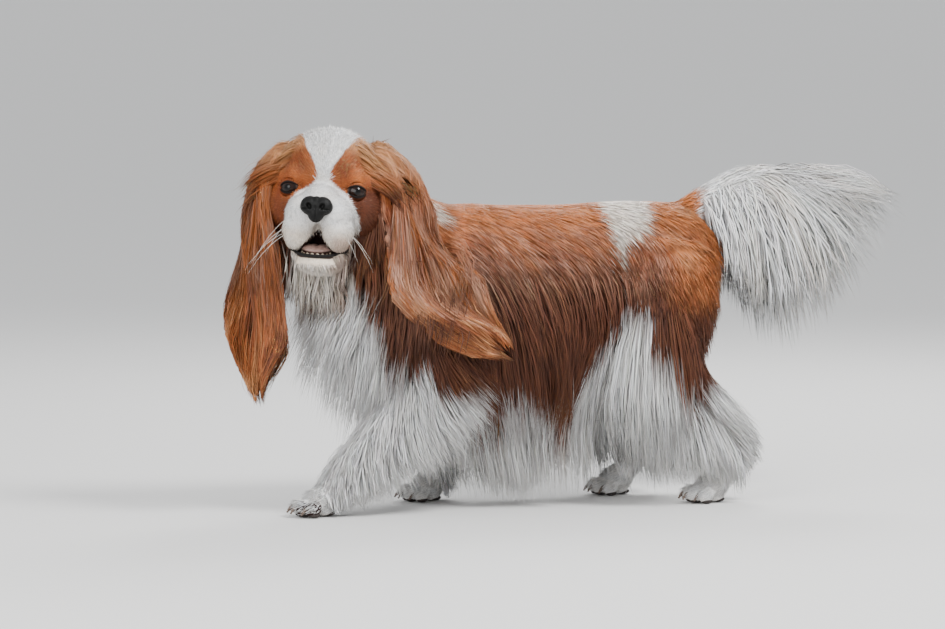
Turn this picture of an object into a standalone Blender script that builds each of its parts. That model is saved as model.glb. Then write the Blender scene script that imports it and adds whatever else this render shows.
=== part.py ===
"""A life-size cavalier king charles spaniel, standing in mid stride with its head turned to its left.

Metres, +Z up. The dog walks towards -X, so its left side is -Y. The floor is z = 0.
The flesh is modelled whole from closed forms, remeshed smooth, then parted with thin cuts.
"""

import math
import random

import bmesh
import bpy
from mathutils import Matrix, Vector
from mathutils.bvhtree import BVHTree

# Driving sizes
WITHERS = 0.312  # height of the back over the shoulders, without its coat
GAP = 0.0003  # clear space between neighbouring pieces
EYE_RADIUS = 0.0115
EYE_SOCKET = 0.0118
EYE_SPREAD = 0.0345  # half the distance between the eyes' centres
LID = 0.0018  # radius of a lid's rim
EAR_THICK = 0.0062

# The head is modelled looking along -Y, with its own left towards +X, then turned and placed.
HEAD_AT = Vector((-0.222, -0.040, 0.337))
HEAD_TURN = math.radians(-24)
HEAD_PITCH = math.radians(-4)
HEAD_ROLL = math.radians(3.5)
HEAD = (
    Matrix.Translation(HEAD_AT)
    @ Matrix.Rotation(HEAD_TURN, 4, "Z")
    @ Matrix.Rotation(HEAD_ROLL, 4, "Y")
    @ Matrix.Rotation(HEAD_PITCH, 4, "X")
)

SIDES = {"left": -1, "right": 1}
HEAD_SIDES = {"left": 1, "right": -1}
ACROSS = Vector((0, 1, 0))

BODY_VOXEL = 0.0055
HEAD_VOXEL = 0.0030
PAW_VOXEL = 0.0026
BODY_TRIANGLES = 1700
HEAD_TRIANGLES = 1020
PAW_TRIANGLES = 140

CHESTNUT = (0.36, 0.13, 0.045, 1)
PEARL = (0.86, 0.83, 0.78, 1)
BLACK = (0.012, 0.011, 0.011, 1)
HAZEL = (0.06, 0.025, 0.012, 1)
PINK = (0.50, 0.22, 0.20, 1)

# Torso: x, lowest z, highest z, half width
TORSO = [
    (-0.192, 0.190, 0.232, 0.024),
    (-0.172, 0.160, 0.262, 0.050),
    (-0.135, 0.142, 0.292, 0.066),
    (-0.085, 0.136, WITHERS, 0.075),
    (-0.020, 0.136, WITHERS, 0.080),
    (0.040, 0.146, WITHERS, 0.079),
    (0.090, 0.162, WITHERS + 0.002, 0.072),
    (0.140, 0.178, WITHERS + 0.003, 0.068),
    (0.182, 0.200, WITHERS, 0.058),
    (0.208, 0.228, WITHERS - 0.018, 0.036),
]
# Neck: x, y, z, half width, half depth
NECK = [
    (-0.075, 0.000, 0.232, 0.060, 0.070),
    (-0.120, -0.004, 0.262, 0.060, 0.068),
    (-0.160, -0.012, 0.290, 0.053, 0.058),
    (-0.190, -0.020, 0.314, 0.047, 0.048),
    (-0.210, -0.026, 0.332, 0.036, 0.036),
]
# Legs: x, distance out from the middle, z, half width across, half depth fore and aft
FORELEG = {
    "left": [
        (-0.105, 0.050, 0.215, 0.024, 0.038),
        (-0.118, 0.058, 0.170, 0.022, 0.032),
        (-0.132, 0.058, 0.132, 0.017, 0.023),
        (-0.170, 0.056, 0.088, 0.015, 0.018),
        (-0.205, 0.055, 0.050, 0.0145, 0.0165),
        (-0.226, 0.054, 0.024, 0.014, 0.015),
    ],
    "right": [
        (-0.105, 0.050, 0.215, 0.024, 0.038),
        (-0.105, 0.056, 0.170, 0.022, 0.032),
        (-0.098, 0.056, 0.132, 0.017, 0.023),
        (-0.090, 0.054, 0.088, 0.015, 0.018),
        (-0.079, 0.052, 0.050, 0.0145, 0.0165),
        (-0.078, 0.052, 0.024, 0.014, 0.015),
    ],
}
HINDLEG = {
    "left": [
        (0.150, 0.036, 0.270, 0.030, 0.050),
        (0.144, 0.050, 0.228, 0.032, 0.058),
        (0.138, 0.058, 0.184, 0.028, 0.048),
        (0.150, 0.058, 0.140, 0.022, 0.036),
        (0.184, 0.056, 0.098, 0.017, 0.024),
        (0.213, 0.054, 0.066, 0.0145, 0.019),
        (0.214, 0.053, 0.044, 0.0135, 0.0165),
        (0.202, 0.052, 0.024, 0.014, 0.015),
    ],
    "right": [
        (0.150, 0.036, 0.270, 0.030, 0.050),
        (0.136, 0.050, 0.228, 0.032, 0.058),
        (0.112, 0.058, 0.184, 0.028, 0.048),
        (0.108, 0.058, 0.140, 0.022, 0.036),
        (0.130, 0.056, 0.098, 0.017, 0.024),
        (0.151, 0.054, 0.066, 0.0145, 0.019),
        (0.147, 0.053, 0.044, 0.0135, 0.0165),
        (0.133, 0.052, 0.024, 0.014, 0.015),
    ],
}
# Where each paw's middle stands: x and distance out
PAWS = {
    "forepaw_left": (-0.234, -0.055),
    "forepaw_right": (-0.086, 0.052),
    "hindpaw_left": (0.194, -0.052),
    "hindpaw_right": (0.125, 0.052),
}
# Tail bone with its short hair: x, z, half width, half depth
TAIL = [
    (0.176, 0.292, 0.022, 0.024),
    (0.206, 0.312, 0.018, 0.020),
    (0.238, 0.332, 0.015, 0.017),
    (0.275, 0.338, 0.013, 0.015),
    (0.312, 0.330, 0.010, 0.012),
    (0.345, 0.314, 0.007, 0.008),
]
# Ears in the head's frame, down the middle: x outwards, y, z, half width, degrees turned to face forward
EAR = {
    "left": [
        (0.036, 0.012, 0.040, 0.022, 8),
        (0.056, 0.012, 0.034, 0.027, 14),
        (0.071, 0.011, 0.014, 0.029, 26),
        (0.080, 0.004, -0.018, 0.031, 38),
        (0.092, -0.005, -0.052, 0.037, 50),
        (0.110, -0.008, -0.088, 0.043, 58),
        (0.134, -0.005, -0.122, 0.043, 62),
        (0.164, 0.004, -0.150, 0.026, 62),
        (0.190, 0.012, -0.172, 0.005, 62),
    ],
    "right": [
        (0.036, 0.012, 0.040, 0.022, 8),
        (0.055, 0.011, 0.032, 0.027, 14),
        (0.067, 0.007, 0.006, 0.029, 26),
        (0.071, 0.000, -0.030, 0.030, 36),
        (0.070, -0.007, -0.070, 0.033, 46),
        (0.067, -0.011, -0.112, 0.037, 52),
        (0.066, -0.013, -0.155, 0.039, 54),
        (0.061, -0.013, -0.192, 0.025, 54),
        (0.053, -0.012, -0.220, 0.006, 54),
    ],
}
# The head's flesh: centre and radii of each ball, in the head's frame; the last number says if it is a pair
SKULL = [
    ((0, 0.012, 0.019), (0.049, 0.056, 0.044), False),
    ((0.015, 0.006, 0.026), (0.030, 0.044, 0.033), True),
    ((0.026, -0.024, 0.014), (0.018, 0.016, 0.016), True),
    ((0, -0.020, 0.022), (0.030, 0.022, 0.030), False),
    ((0.038, 0.000, -0.020), (0.025, 0.038, 0.032), True),
    ((0.039, 0.010, 0.006), (0.022, 0.038, 0.032), True),
    ((0.0335, -0.022, 0.000), (0.0170, 0.0150, 0.0155), True),
    ((0, -0.044, -0.012), (0.021, 0.031, 0.019), False),
    ((0.017, -0.048, -0.026), (0.0195, 0.0260, 0.022), True),
    ((0.020, -0.049, -0.041), (0.0175, 0.0245, 0.022), True),
    ((0.026, -0.030, -0.016), (0.019, 0.020, 0.018), True),
    ((0, 0.000, -0.048), (0.031, 0.045, 0.026), False),
]
JAW = [
    ((0, -0.034, -0.0680), (0.0220, 0.034, 0.0110), False),
    ((0, -0.054, -0.0725), (0.0170, 0.014, 0.0085), False),
]
# A paw pointing along -X: two middle toes, two outer toes, wrist, heel pad
PAW = [
    ((-0.0200, 0.0062, 0.0100), (0.0115, 0.0070, 0.0106), True),
    ((-0.0120, 0.0165, 0.0090), (0.0105, 0.0070, 0.0096), True),
    ((0.0010, 0.0000, 0.0170), (0.0180, 0.0170, 0.0150), False),
    ((0.0030, 0.0000, 0.0050), (0.0125, 0.0130, 0.0060), False),
]

# A lock's width and thickness from its root to just before its tip, as shares of the largest
LOCK_WIDTHS = (0.55, 1.0, 0.88, 0.55)
LOCK_THICKS = (1.0, 1.0, 0.8, 0.5)
LOCK_POINTS = len(LOCK_WIDTHS) + 1
SINK = 0.008  # how deep a lock's root is set in the skin
FLOOR_CLEAR = 0.004
LOCK_MARGIN = 0.0005  # half the least space between locks of two nodes
SHORTEST_LOCK = 0.4  # a lock that has to be cut below this share of its length is left out
FRINGE = 8  # locks in the outer row of each side's fringe
FORE_FEATHERS = 4
ELBOW_ROW = 7  # sections of the foreleg above its first feather
WRIST_ROWS = 3  # sections of it below the last
# Node, height, half spread across, count and length of each row of the bib
BIB_ROWS = [
    ("neck", 0.268, 0.026, 3, 0.080),
    ("torso", 0.236, 0.030, 3, 0.088),
    ("torso", 0.208, 0.042, 4, 0.092),
    ("torso", 0.178, 0.038, 4, 0.090),
]
# Height, half spread across, count and length
BREECH_ROWS = [
    (0.194, 0.013, 2, 0.078),
    (0.162, 0.012, 2, 0.078),
    (0.128, 0.009, 2, 0.064),
    (0.096, 0.005, 2, 0.046),
]
STIFLE_ROWS = [(0.176, 0.118), (0.146, 0.100)]
RUMP_ROWS = [(0.268, 0.024, 2, 0.066), (0.236, 0.032, 3, 0.070)]
# Start and end along the ear, count across, and how far the layer stands off its middle
EAR_LAYERS = [(0.24, 0.70, 3, 0.0042), (0.44, 0.90, 3, 0.0026), (0.55, 1.00, 4, -0.0008)]
EAR_LOCK = 0.0140
EAR_CORE = 0.62  # the share of the ear that its leather fills
# Side of the bone and count of each layer of the plume
PLUME_LAYERS = [(-1, 7), (0, 9), (1, 7)]
# The plume's tips from the top to the underside: x, z
PLUME = [
    (0.345, 0.334),
    (0.392, 0.326),
    (0.417, 0.314),
    (0.412, 0.293),
    (0.394, 0.260),
    (0.366, 0.222),
    (0.338, 0.196),
    (0.309, 0.158),
    (0.268, 0.176),
]


def clear_scene():
    for obj in list(bpy.data.objects):
        bpy.data.objects.remove(obj)


def link(name, mesh, collection=None):
    obj = bpy.data.objects.new(name, mesh)
    (collection or bpy.context.scene.collection).objects.link(obj)
    return obj


def from_bmesh(name, bm):
    mesh = bpy.data.meshes.new(name)
    bm.to_mesh(mesh)
    bm.free()
    return link(name, mesh)


def ball(centre, radii, turn=None, sides=20):
    """A closed ellipsoid."""
    bm = bmesh.new()
    bmesh.ops.create_uvsphere(bm, u_segments=sides, v_segments=sides * 3 // 5, radius=1)
    place = Matrix.Translation(centre) @ (turn or Matrix.Identity(4)) @ Matrix.Diagonal((*radii, 1))
    bmesh.ops.transform(bm, matrix=place, verts=bm.verts)
    return from_bmesh("ball", bm)


def smooth_stations(stations, between=3):
    """Catmull-Rom points through rows of numbers, with this many steps between two rows."""
    rows = [Vector(row) for row in stations]
    rows = [rows[0] * 2 - rows[1], *rows, rows[-1] * 2 - rows[-2]]
    made = []
    for a, b, c, d in zip(rows, rows[1:], rows[2:], rows[3:]):
        for step in range(between):
            t = step / between
            made.append(
                (b * 2 + (c - a) * t + (a * 2 - b * 5 + c * 4 - d) * t**2 + (b * 3 - a - c * 3 + d) * t**3)
                / 2
            )
    return [*made, rows[-2]]


def skin_rings(bm, rings):
    """Joins rings of equal count with quads, and closes both ends."""
    rows = [[bm.verts.new(point) for point in ring] for ring in rings]
    count = len(rows[0])
    for lower, upper in zip(rows, rows[1:]):
        for i in range(count):
            j = (i + 1) % count
            bm.faces.new((lower[i], lower[j], upper[j], upper[i]))
    bm.faces.new(rows[0][::-1])
    bm.faces.new(rows[-1])


def loft(stations, sides=16):
    """A closed tube through (centre, half width, half depth), its width lying along Y as near as it can."""
    centres = [Vector(s[0]) for s in stations]
    rings = []
    for k, (centre, wide, deep) in enumerate(stations):
        along = (centres[min(k + 1, len(centres) - 1)] - centres[max(k - 1, 0)]).normalized()
        across = (ACROSS - along * ACROSS.dot(along)).normalized()
        depth = along.cross(across)
        rings.append(
            [
                centre + across * wide * math.cos(a) + depth * deep * math.sin(a)
                for a in (2 * math.pi * i / sides for i in range(sides))
            ]
        )
    bm = bmesh.new()
    skin_rings(bm, rings)
    bmesh.ops.recalc_face_normals(bm, faces=bm.faces)
    return from_bmesh("loft", bm)


def torso_form():
    rows = smooth_stations(TORSO)
    return loft([(Vector((r[0], 0, (r[1] + r[2]) / 2)), r[3], (r[2] - r[1]) / 2) for r in rows], 24)


def neck_form():
    rows = smooth_stations(NECK)
    return loft([(Vector(r[:3]), r[3], r[4]) for r in rows], 20)


def leg_form(stations, side):
    rows = smooth_stations(stations)
    return loft([(Vector((r[0], side * r[1], r[2])), r[3], r[4]) for r in rows], 14)


def tail_form():
    rows = smooth_stations(TAIL)
    return loft([(Vector((r[0], 0, r[1])), r[2], r[3]) for r in rows], 14)


def plume_core():
    """The dense hair close to the tail bone, which reaches less than half way to the plume's tips."""
    return ball((0.286, 0, 0.306), (0.066, 0.017, 0.038), Matrix.Rotation(math.radians(14), 4, "Y"))


def join(pieces, name):
    """One mesh from several objects, whose walls still cross."""
    bm = bmesh.new()
    for piece in pieces:
        mesh = piece.data
        mesh.transform(piece.matrix_basis)
        bm.from_mesh(mesh)
        bpy.data.objects.remove(piece)
    return from_bmesh(name, bm)


def apply_modifiers(obj):
    graph = bpy.context.evaluated_depsgraph_get()
    mesh = bpy.data.meshes.new_from_object(obj.evaluated_get(graph))
    obj.modifiers.clear()
    obj.data = mesh


def knit(pieces, name, voxel, rounds, triangles):
    """Melts closed forms into one smooth closed surface of about this many triangles."""
    obj = join(pieces, name)
    remesh = obj.modifiers.new("melt", "REMESH")
    remesh.mode = "VOXEL"
    remesh.voxel_size = voxel
    smooth = obj.modifiers.new("soften", "SMOOTH")
    smooth.factor = 0.5
    smooth.iterations = rounds
    apply_modifiers(obj)
    keep_largest(obj)
    thin = obj.modifiers.new("thin", "DECIMATE")
    thin.ratio = triangles / (2 * len(obj.data.polygons))
    apply_modifiers(obj)
    return obj


def islands(bm):
    """The mesh's separate surfaces, as lists of faces."""
    seen, found = set(), []
    for face in bm.faces:
        if face in seen:
            continue
        stack, island = [face], []
        seen.add(face)
        while stack:
            now = stack.pop()
            island.append(now)
            for edge in now.edges:
                for other in edge.link_faces:
                    if other not in seen:
                        seen.add(other)
                        stack.append(other)
        found.append(island)
    return found


def keep_largest(obj):
    """Drops every closed surface but the one of most area, such as a sealed hollow or a scrap."""
    bm = bmesh.new()
    bm.from_mesh(obj.data)
    found = sorted(islands(bm), key=lambda island: sum(f.calc_area() for f in island))
    spare = [face for island in found[:-1] for face in island]
    bmesh.ops.delete(bm, geom=spare, context="FACES")
    bm.to_mesh(obj.data)
    bm.free()


def boolean(obj, other, operation):
    """Cuts, keeps or joins with one closed object, which stays."""
    modifier = obj.modifiers.new(operation, "BOOLEAN")
    modifier.operation = operation
    modifier.object = other
    modifier.solver = "EXACT"
    apply_modifiers(obj)
    keep_largest(obj)


def block(low, high, place=None):
    """A cutter: a box between two corners, in the frame of place."""
    bm = bmesh.new()
    bmesh.ops.create_cube(bm, size=1)
    size = Vector(high) - Vector(low)
    middle = (Vector(high) + Vector(low)) / 2
    matrix = (place or Matrix.Identity(4)) @ Matrix.Translation(middle) @ Matrix.Diagonal((*size, 1))
    bmesh.ops.transform(bm, matrix=matrix, verts=bm.verts)
    return from_bmesh("block", bm)


def part_off(whole, name, low, high, place):
    """Takes the stuff inside a box, whose low z is the cut, off the whole. The cut is GAP wide."""
    piece = link(name, whole.data.copy())
    inside = block(low, high, place)
    boolean(piece, inside, "INTERSECT")
    bpy.data.objects.remove(inside)
    margin = Vector((GAP, GAP, GAP))
    outside = block(Vector(low) - margin, Vector(high) + margin, place)
    boolean(whole, outside, "DIFFERENCE")
    bpy.data.objects.remove(outside)
    return piece


def box_frame(point, normal, outward):
    """A frame whose +Z is the normal and whose Y lies as near as it can to outward."""
    z = Vector(normal).normalized()
    y = (Vector(outward) - z * Vector(outward).dot(z)).normalized()
    x = y.cross(z)
    return Matrix.Translation(point) @ Matrix((x, y, z)).transposed().to_4x4()


def grown(obj, by=GAP):
    """A copy with its walls moved outwards."""
    copy = link("grown", obj.data.copy())
    bm = bmesh.new()
    bm.from_mesh(copy.data)
    bm.normal_update()
    shifts = [(vert, vert.normal * by * min(vert.calc_shell_factor(), 2)) for vert in bm.verts]
    for vert, shift in shifts:
        vert.co += shift
    bm.to_mesh(copy.data)
    bm.free()
    return copy


def cut_clear(obj, others, by=GAP):
    """Cuts an object back from its neighbours by the gap."""
    for other in others:
        cutter = grown(other, by)
        boolean(obj, cutter, "DIFFERENCE")
        bpy.data.objects.remove(cutter)


def use_up(obj, other, operation):
    """A Boolean whose second object isn't needed afterwards."""
    boolean(obj, other, operation)
    bpy.data.objects.remove(other)


NECK_BASE = box_frame((-0.128, 0, 0.262), (-0.62, 0, 0.78), ACROSS)
TAIL_ROOT = box_frame((0.206, 0, 0.312), (0.82, 0, 0.57), ACROSS)
# Where the legs leave the body: x, distance out and z of the cut, its slope outwards, and how far it
# reaches forward, back and inwards
LEG_CUTS = {
    "foreleg_left": (-0.125, 0.040, 0.146, 0.60, 0.140, 0.040, 0.090),
    "foreleg_right": (-0.105, 0.040, 0.146, 0.60, 0.045, 0.050, 0.090),
    "hindleg_left": (0.140, 0.036, 0.182, 0.62, 0.052, 0.110, 0.100),
    "hindleg_right": (0.125, 0.036, 0.182, 0.62, 0.060, 0.070, 0.100),
}


def limb_off(whole, name, side):
    x, out, z, slope, forward, back, inwards = LEG_CUTS[name]
    place = box_frame((x, side * out, z), (0, side * slope, -1), (0, side, 0))
    low, high = (-forward, back) if side < 0 else (-back, forward)
    return part_off(whole, name, (low, -inwards, 0), (high, 0.07, 0.3), place)


def flesh():
    """Torso, neck, legs and tail as one surface, then parted."""
    forms = [torso_form(), neck_form(), tail_form(), plume_core()]
    for name, side in SIDES.items():
        forms.append(leg_form(FORELEG[name], side))
        forms.append(leg_form(HINDLEG[name], side))
    whole = knit(forms, "torso", BODY_VOXEL, 6, BODY_TRIANGLES)
    parts = {"neck": part_off(whole, "neck", (-0.12, -0.12, 0), (0.12, 0.12, 0.2), NECK_BASE)}
    parts["tail"] = part_off(whole, "tail", (-0.08, -0.08, 0), (0.08, 0.08, 0.25), TAIL_ROOT)
    for name, side in SIDES.items():
        for limb in ("foreleg", "hindleg"):
            parts[f"{limb}_{name}"] = limb_off(whole, f"{limb}_{name}", side)
    parts["torso"] = whole
    return parts


def balls(rows):
    """Ellipsoids from a table, mirrored in X where the row says that it is a pair."""
    made = []
    for centre, radii, pair in rows:
        made.append(ball(centre, radii))
        if pair:
            made.append(ball((-centre[0], *centre[1:]), radii))
    return made


def ribbon(name, stations, thick, cup=0.0, sides=12):
    """A closed flat form through (centre, half width, facing), its edges bent away from where it faces."""
    centres = [s[0] for s in stations]
    rings = []
    for k, (centre, wide, facing) in enumerate(stations):
        along = (centres[min(k + 1, len(centres) - 1)] - centres[max(k - 1, 0)]).normalized()
        across = along.cross(facing).normalized()
        out = across.cross(along)
        half = thick / 2 * min(1, 0.25 + wide / 0.02)
        ring = []
        for i in range(sides):
            a = 2 * math.pi * i / sides
            bend = cup * wide * math.cos(a) ** 2
            ring.append(centre + across * wide * math.cos(a) + out * (half * math.sin(a) - bend))
        rings.append(ring)
    bm = bmesh.new()
    skin_rings(bm, rings)
    bmesh.ops.recalc_face_normals(bm, faces=bm.faces)
    bmesh.ops.triangulate(bm, faces=bm.faces)
    return from_bmesh(name, bm)


def ring_tube(name, centre, axis, wide, tall, radius, count=18, sides=6):
    """A closed ring round an axis, wider than tall, such as a lid's rim."""
    place = box_frame(centre, axis, (0, 0, 1))
    rings = []
    for k in range(count):
        a = 2 * math.pi * k / count
        middle = Vector((math.cos(a) * wide, math.sin(a) * tall, 0))
        out = Vector((math.cos(a), math.sin(a), 0))
        turn = (2 * math.pi * i / sides for i in range(sides))
        ring = [middle + out * radius * math.cos(b) + Vector((0, 0, radius * math.sin(b))) for b in turn]
        rings.append([place @ point for point in ring])
    bm = bmesh.new()
    rows = [[bm.verts.new(point) for point in ring] for ring in rings]
    for k in range(count):
        lower, upper = rows[k], rows[(k + 1) % count]
        for i in range(sides):
            j = (i + 1) % sides
            bm.faces.new((lower[i], lower[j], upper[j], upper[i]))
    bmesh.ops.recalc_face_normals(bm, faces=bm.faces)
    return from_bmesh(name, bm)


def cone(name, start, end, start_radius, end_radius, sides=16):
    """A closed cone or cylinder between two points."""
    start, end = Vector(start), Vector(end)
    bm = bmesh.new()
    bmesh.ops.create_cone(
        bm, cap_ends=True, segments=sides,
        radius1=start_radius, radius2=end_radius, depth=(end - start).length,
    )
    turn = Vector((0, 0, 1)).rotation_difference(end - start).to_matrix().to_4x4()
    bmesh.ops.transform(bm, matrix=Matrix.Translation((start + end) / 2) @ turn, verts=bm.verts)
    return from_bmesh(name, bm)


def gaze(side):
    return Vector((side * 0.30, -0.95, 0.03)).normalized()


def eye_centre(side):
    return Vector((side * EYE_SPREAD, -0.024, 0))


def mouth_gap():
    """The dark opening under the nose: a wedge, narrow at the top."""
    bm = bmesh.new()
    outline = [(0, -0.0400), (0.0235, -0.0800), (-0.0235, -0.0800)]
    front = [bm.verts.new((x, -0.1, z)) for x, z in outline]
    back = [bm.verts.new((x * 0.8, -0.032, z)) for x, z in outline]
    bm.faces.new(front)
    bm.faces.new(back[::-1])
    for i in range(3):
        j = (i + 1) % 3
        bm.faces.new((front[i], front[j], back[j], back[i]))
    bmesh.ops.recalc_face_normals(bm, faces=bm.faces)
    return from_bmesh("mouth", bm)


def nose_pad():
    """The leather of the nose, with a nostril on each side and the groove between them."""
    pads = [
        ball((0.0062, -0.0730, -0.0165), (0.0098, 0.0085, 0.0100)),
        ball((-0.0062, -0.0730, -0.0165), (0.0098, 0.0085, 0.0100)),
        ball((0, -0.0725, -0.0220), (0.0085, 0.0082, 0.0095)),
    ]
    pad = knit(pads, "nose", 0.0014, 3, 220)
    for side in (-1, 1):
        tilt = Matrix.Rotation(side * math.radians(20), 4, "Y")
        use_up(pad, ball((side * 0.0062, -0.0815, -0.0178), (0.0022, 0.0050, 0.0036), tilt, 8), "DIFFERENCE")
    return pad


def lower_teeth():
    """Six incisors and a canine at each end, in an arc behind the lower lip."""
    made = []
    for k in range(8):
        a = math.radians(-74 + 148 * k / 7)
        root = Vector((0.0125 * math.sin(a), -0.0500 - 0.0130 * math.cos(a), -0.0680))
        canine = k in (0, 7)
        top = root + Vector((0, -0.0005, 0.0118 if canine else 0.0088))
        made.append(cone("tooth", root, top, 0.0025, 0.0005 if canine else 0.0021, 4))
    return made


def head_parts():
    """Head, jaw, tongue, nose and eyes, in the head's frame."""
    head = knit(balls(SKULL), "head", HEAD_VOXEL, 4, HEAD_TRIANGLES)
    parts = {"head": head}
    for name, side in HEAD_SIDES.items():
        look, centre = gaze(side), eye_centre(side)
        rim = ring_tube("rim", centre + look * 0.0086, look, 0.0104, 0.0090, LID)
        use_up(head, rim, "UNION")
        socket = ball(centre, (EYE_SOCKET,) * 3, sides=14)
        use_up(socket, cone("opening", centre, centre + look * 0.02, 0.0078, 0.0100), "UNION")
        use_up(head, socket, "DIFFERENCE")
        eye = ball(centre, (EYE_RADIUS,) * 3, sides=14)
        eye.name = f"eye_{name}"
        parts[eye.name] = eye
    use_up(head, mouth_gap(), "DIFFERENCE")
    parts["nose"] = nose_pad()
    cut_clear(parts["nose"], [head])
    jaw = knit(balls(JAW), "jaw", 0.0024, 3, 180)
    tongue = ball((0, -0.0410, -0.0600), (0.0125, 0.0185, 0.0050), sides=12)
    tongue.name = "tongue"
    cut_clear(tongue, [jaw, head])
    parts["tongue"] = tongue
    lip = ring_tube("lip", Vector((0, -0.0345, -0.0640)), (0, 0, 1), 0.0205, 0.0335, 0.0020, 14, 5)
    use_up(jaw, lip, "UNION")
    for tooth in lower_teeth():
        use_up(jaw, tooth, "UNION")
    cut_clear(jaw, [head])
    parts["jaw"] = jaw
    for part in parts.values():
        part.data.transform(HEAD)
    return parts


def ear(name):
    side = HEAD_SIDES[name]
    stations = []
    rows = smooth_stations(EAR[name], 2)
    rows = rows[: round(EAR_CORE * len(rows))]
    for k, (x, y, z, wide, turn) in enumerate(rows):
        wide *= 0.88 if k < len(rows) - 1 else 0.55
        a = math.radians(turn)
        facing = Vector((side * math.cos(a), -math.sin(a), 0))
        stations.append((Vector((side * x, y, z)), wide, facing))
    flap = ribbon(f"ear_{name}", stations, EAR_THICK, 0.16, 8)
    flap.data.transform(HEAD)
    return flap


def paw(name):
    """Toes with their claws, and pads, with a small flat underneath each on the floor."""
    rows = []
    for centre, radii, pair in PAW:
        rows.append(ball(centre, radii))
        if pair:
            rows.append(ball((centre[0], -centre[1], centre[2]), radii))
    foot = knit(rows, name, PAW_VOXEL, 2, PAW_TRIANGLES)
    for (x, y, z), (long, _, _), pair in PAW:
        for side in (1, -1) if pair else ():
            tip = (x - long - 0.0020, side * (y + 0.0006), 0.0020)
            use_up(foot, cone("claw", (x - long * 0.5, side * y, z), tip, 0.0024, 0.0005, 4), "UNION")
    use_up(foot, block((-0.1, -0.1, -0.1), (0.1, 0.1, 0)), "DIFFERENCE")
    x, y = PAWS[name]
    foot.data.transform(Matrix.Translation((x, y, 0)))
    return foot


def paint(obj, colour, roughness):
    """A material of the piece's own."""
    material = bpy.data.materials.new(f"{obj.name} finish")
    material.use_nodes = True
    shader = material.node_tree.nodes["Principled BSDF"]
    shader.inputs["Base Color"].default_value = colour
    shader.inputs["Roughness"].default_value = roughness
    shader.inputs["Metallic"].default_value = 0
    obj.data.materials.clear()
    obj.data.materials.append(material)


FINISH = {
    "nose": (BLACK, 0.35),
    "eye_left": (HAZEL, 0.05),
    "eye_right": (HAZEL, 0.05),
    "tongue": (PINK, 0.4),
    "jaw": (PEARL, 0.8),
    "tail": (PEARL, 0.8),
    "torso": (CHESTNUT, 0.7),
    "neck": (CHESTNUT, 0.7),
    "head": (CHESTNUT, 0.7),
    "ear_left": (CHESTNUT, 0.6),
    "ear_right": (CHESTNUT, 0.6),
}


def tree(obj):
    bm = bmesh.new()
    bm.from_mesh(obj.data)
    made = BVHTree.FromBMesh(bm)
    bm.free()
    return made


def bezier(a, b, c, count=LOCK_POINTS):
    """Points on a smooth curve from a to c that starts and ends towards b."""
    made = []
    for k in range(count):
        t = k / (count - 1)
        made.append(a * (1 - t) ** 2 + b * 2 * t * (1 - t) + c * t**2)
    return made


def bend(start, first, last, length, count=LOCK_POINTS):
    """Points along a curve of this length that turns from one direction to another."""
    first, last = Vector(first).normalized(), Vector(last).normalized()
    points = [Vector(start)]
    for k in range(count - 1):
        t = (k + 0.5) / (count - 1)
        points.append(points[-1] + first.lerp(last, t).normalized() * length / (count - 1))
    return points


def lock_bmesh(lock, margin=0.0):
    """A flat, tapered tress: diamond sections along the path, ending in a point."""
    path, facing = lock["path"], Vector(lock["facing"])
    bm = bmesh.new()
    rows = []
    for k, (wide, thick) in enumerate(zip(LOCK_WIDTHS, LOCK_THICKS)):
        along = (path[k + 1] - path[max(k - 1, 0)]).normalized()
        across = along.cross(facing).normalized() * (lock["wide"] * wide + margin)
        out = across.cross(along).normalized() * (lock["thick"] * thick / 2 + margin)
        rows.append([bm.verts.new(path[k] + shift) for shift in (across, out, -across, -out)])
    tip = bm.verts.new(path[-1] + (path[-1] - path[-2]).normalized() * margin)
    for lower, upper in zip(rows, rows[1:]):
        for i in range(4):
            j = (i + 1) % 4
            bm.faces.new((lower[i], lower[j], upper[j]))
            bm.faces.new((lower[i], upper[j], upper[i]))
    for i in range(4):
        bm.faces.new((rows[-1][i], rows[-1][(i + 1) % 4], tip))
    bm.faces.new(rows[0][::-1])
    bmesh.ops.recalc_face_normals(bm, faces=bm.faces)
    return bm


def shortened(path, share):
    """The first share of a path, with as many points."""
    made = []
    last = len(path) - 1
    for k in range(len(path)):
        at = k * share
        i = min(int(at), last - 1)
        made.append(path[i].lerp(path[i + 1], at - i))
    return made


def fits(lock, walls, taken):
    """Whether a lock is clear of the floor, of the other nodes and of their locks."""
    if min(point.z for point in lock["path"][1:]) < FLOOR_CLEAR + lock["thick"]:
        return False
    bm = lock_bmesh(lock, LOCK_MARGIN)
    shape = BVHTree.FromBMesh(bm)
    bm.free()
    if any(shape.overlap(wall) for name, wall in walls.items() if name != lock["node"]):
        return False
    if any(shape.overlap(other) for name, other in taken if name != lock["node"]):
        return False
    taken.append((lock["node"], shape))
    return True


def place_locks(parts, locks):
    """Shortens each lock until it is clear of the other nodes, and fuses it with its own."""
    walls = {name: tree(obj) for name, obj in parts.items()}
    taken = []
    kept = {}
    for lock in locks:
        whole = lock["path"]
        share = 1.0
        while share > SHORTEST_LOCK and not fits(lock, walls, taken):
            share *= 0.9
            lock["path"] = shortened(whole, share)
        if share > SHORTEST_LOCK:
            kept.setdefault(lock["node"], []).append(lock)
    for name, group in kept.items():
        fuse(parts[name], [from_bmesh("lock", lock_bmesh(lock)) for lock in group])


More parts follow.
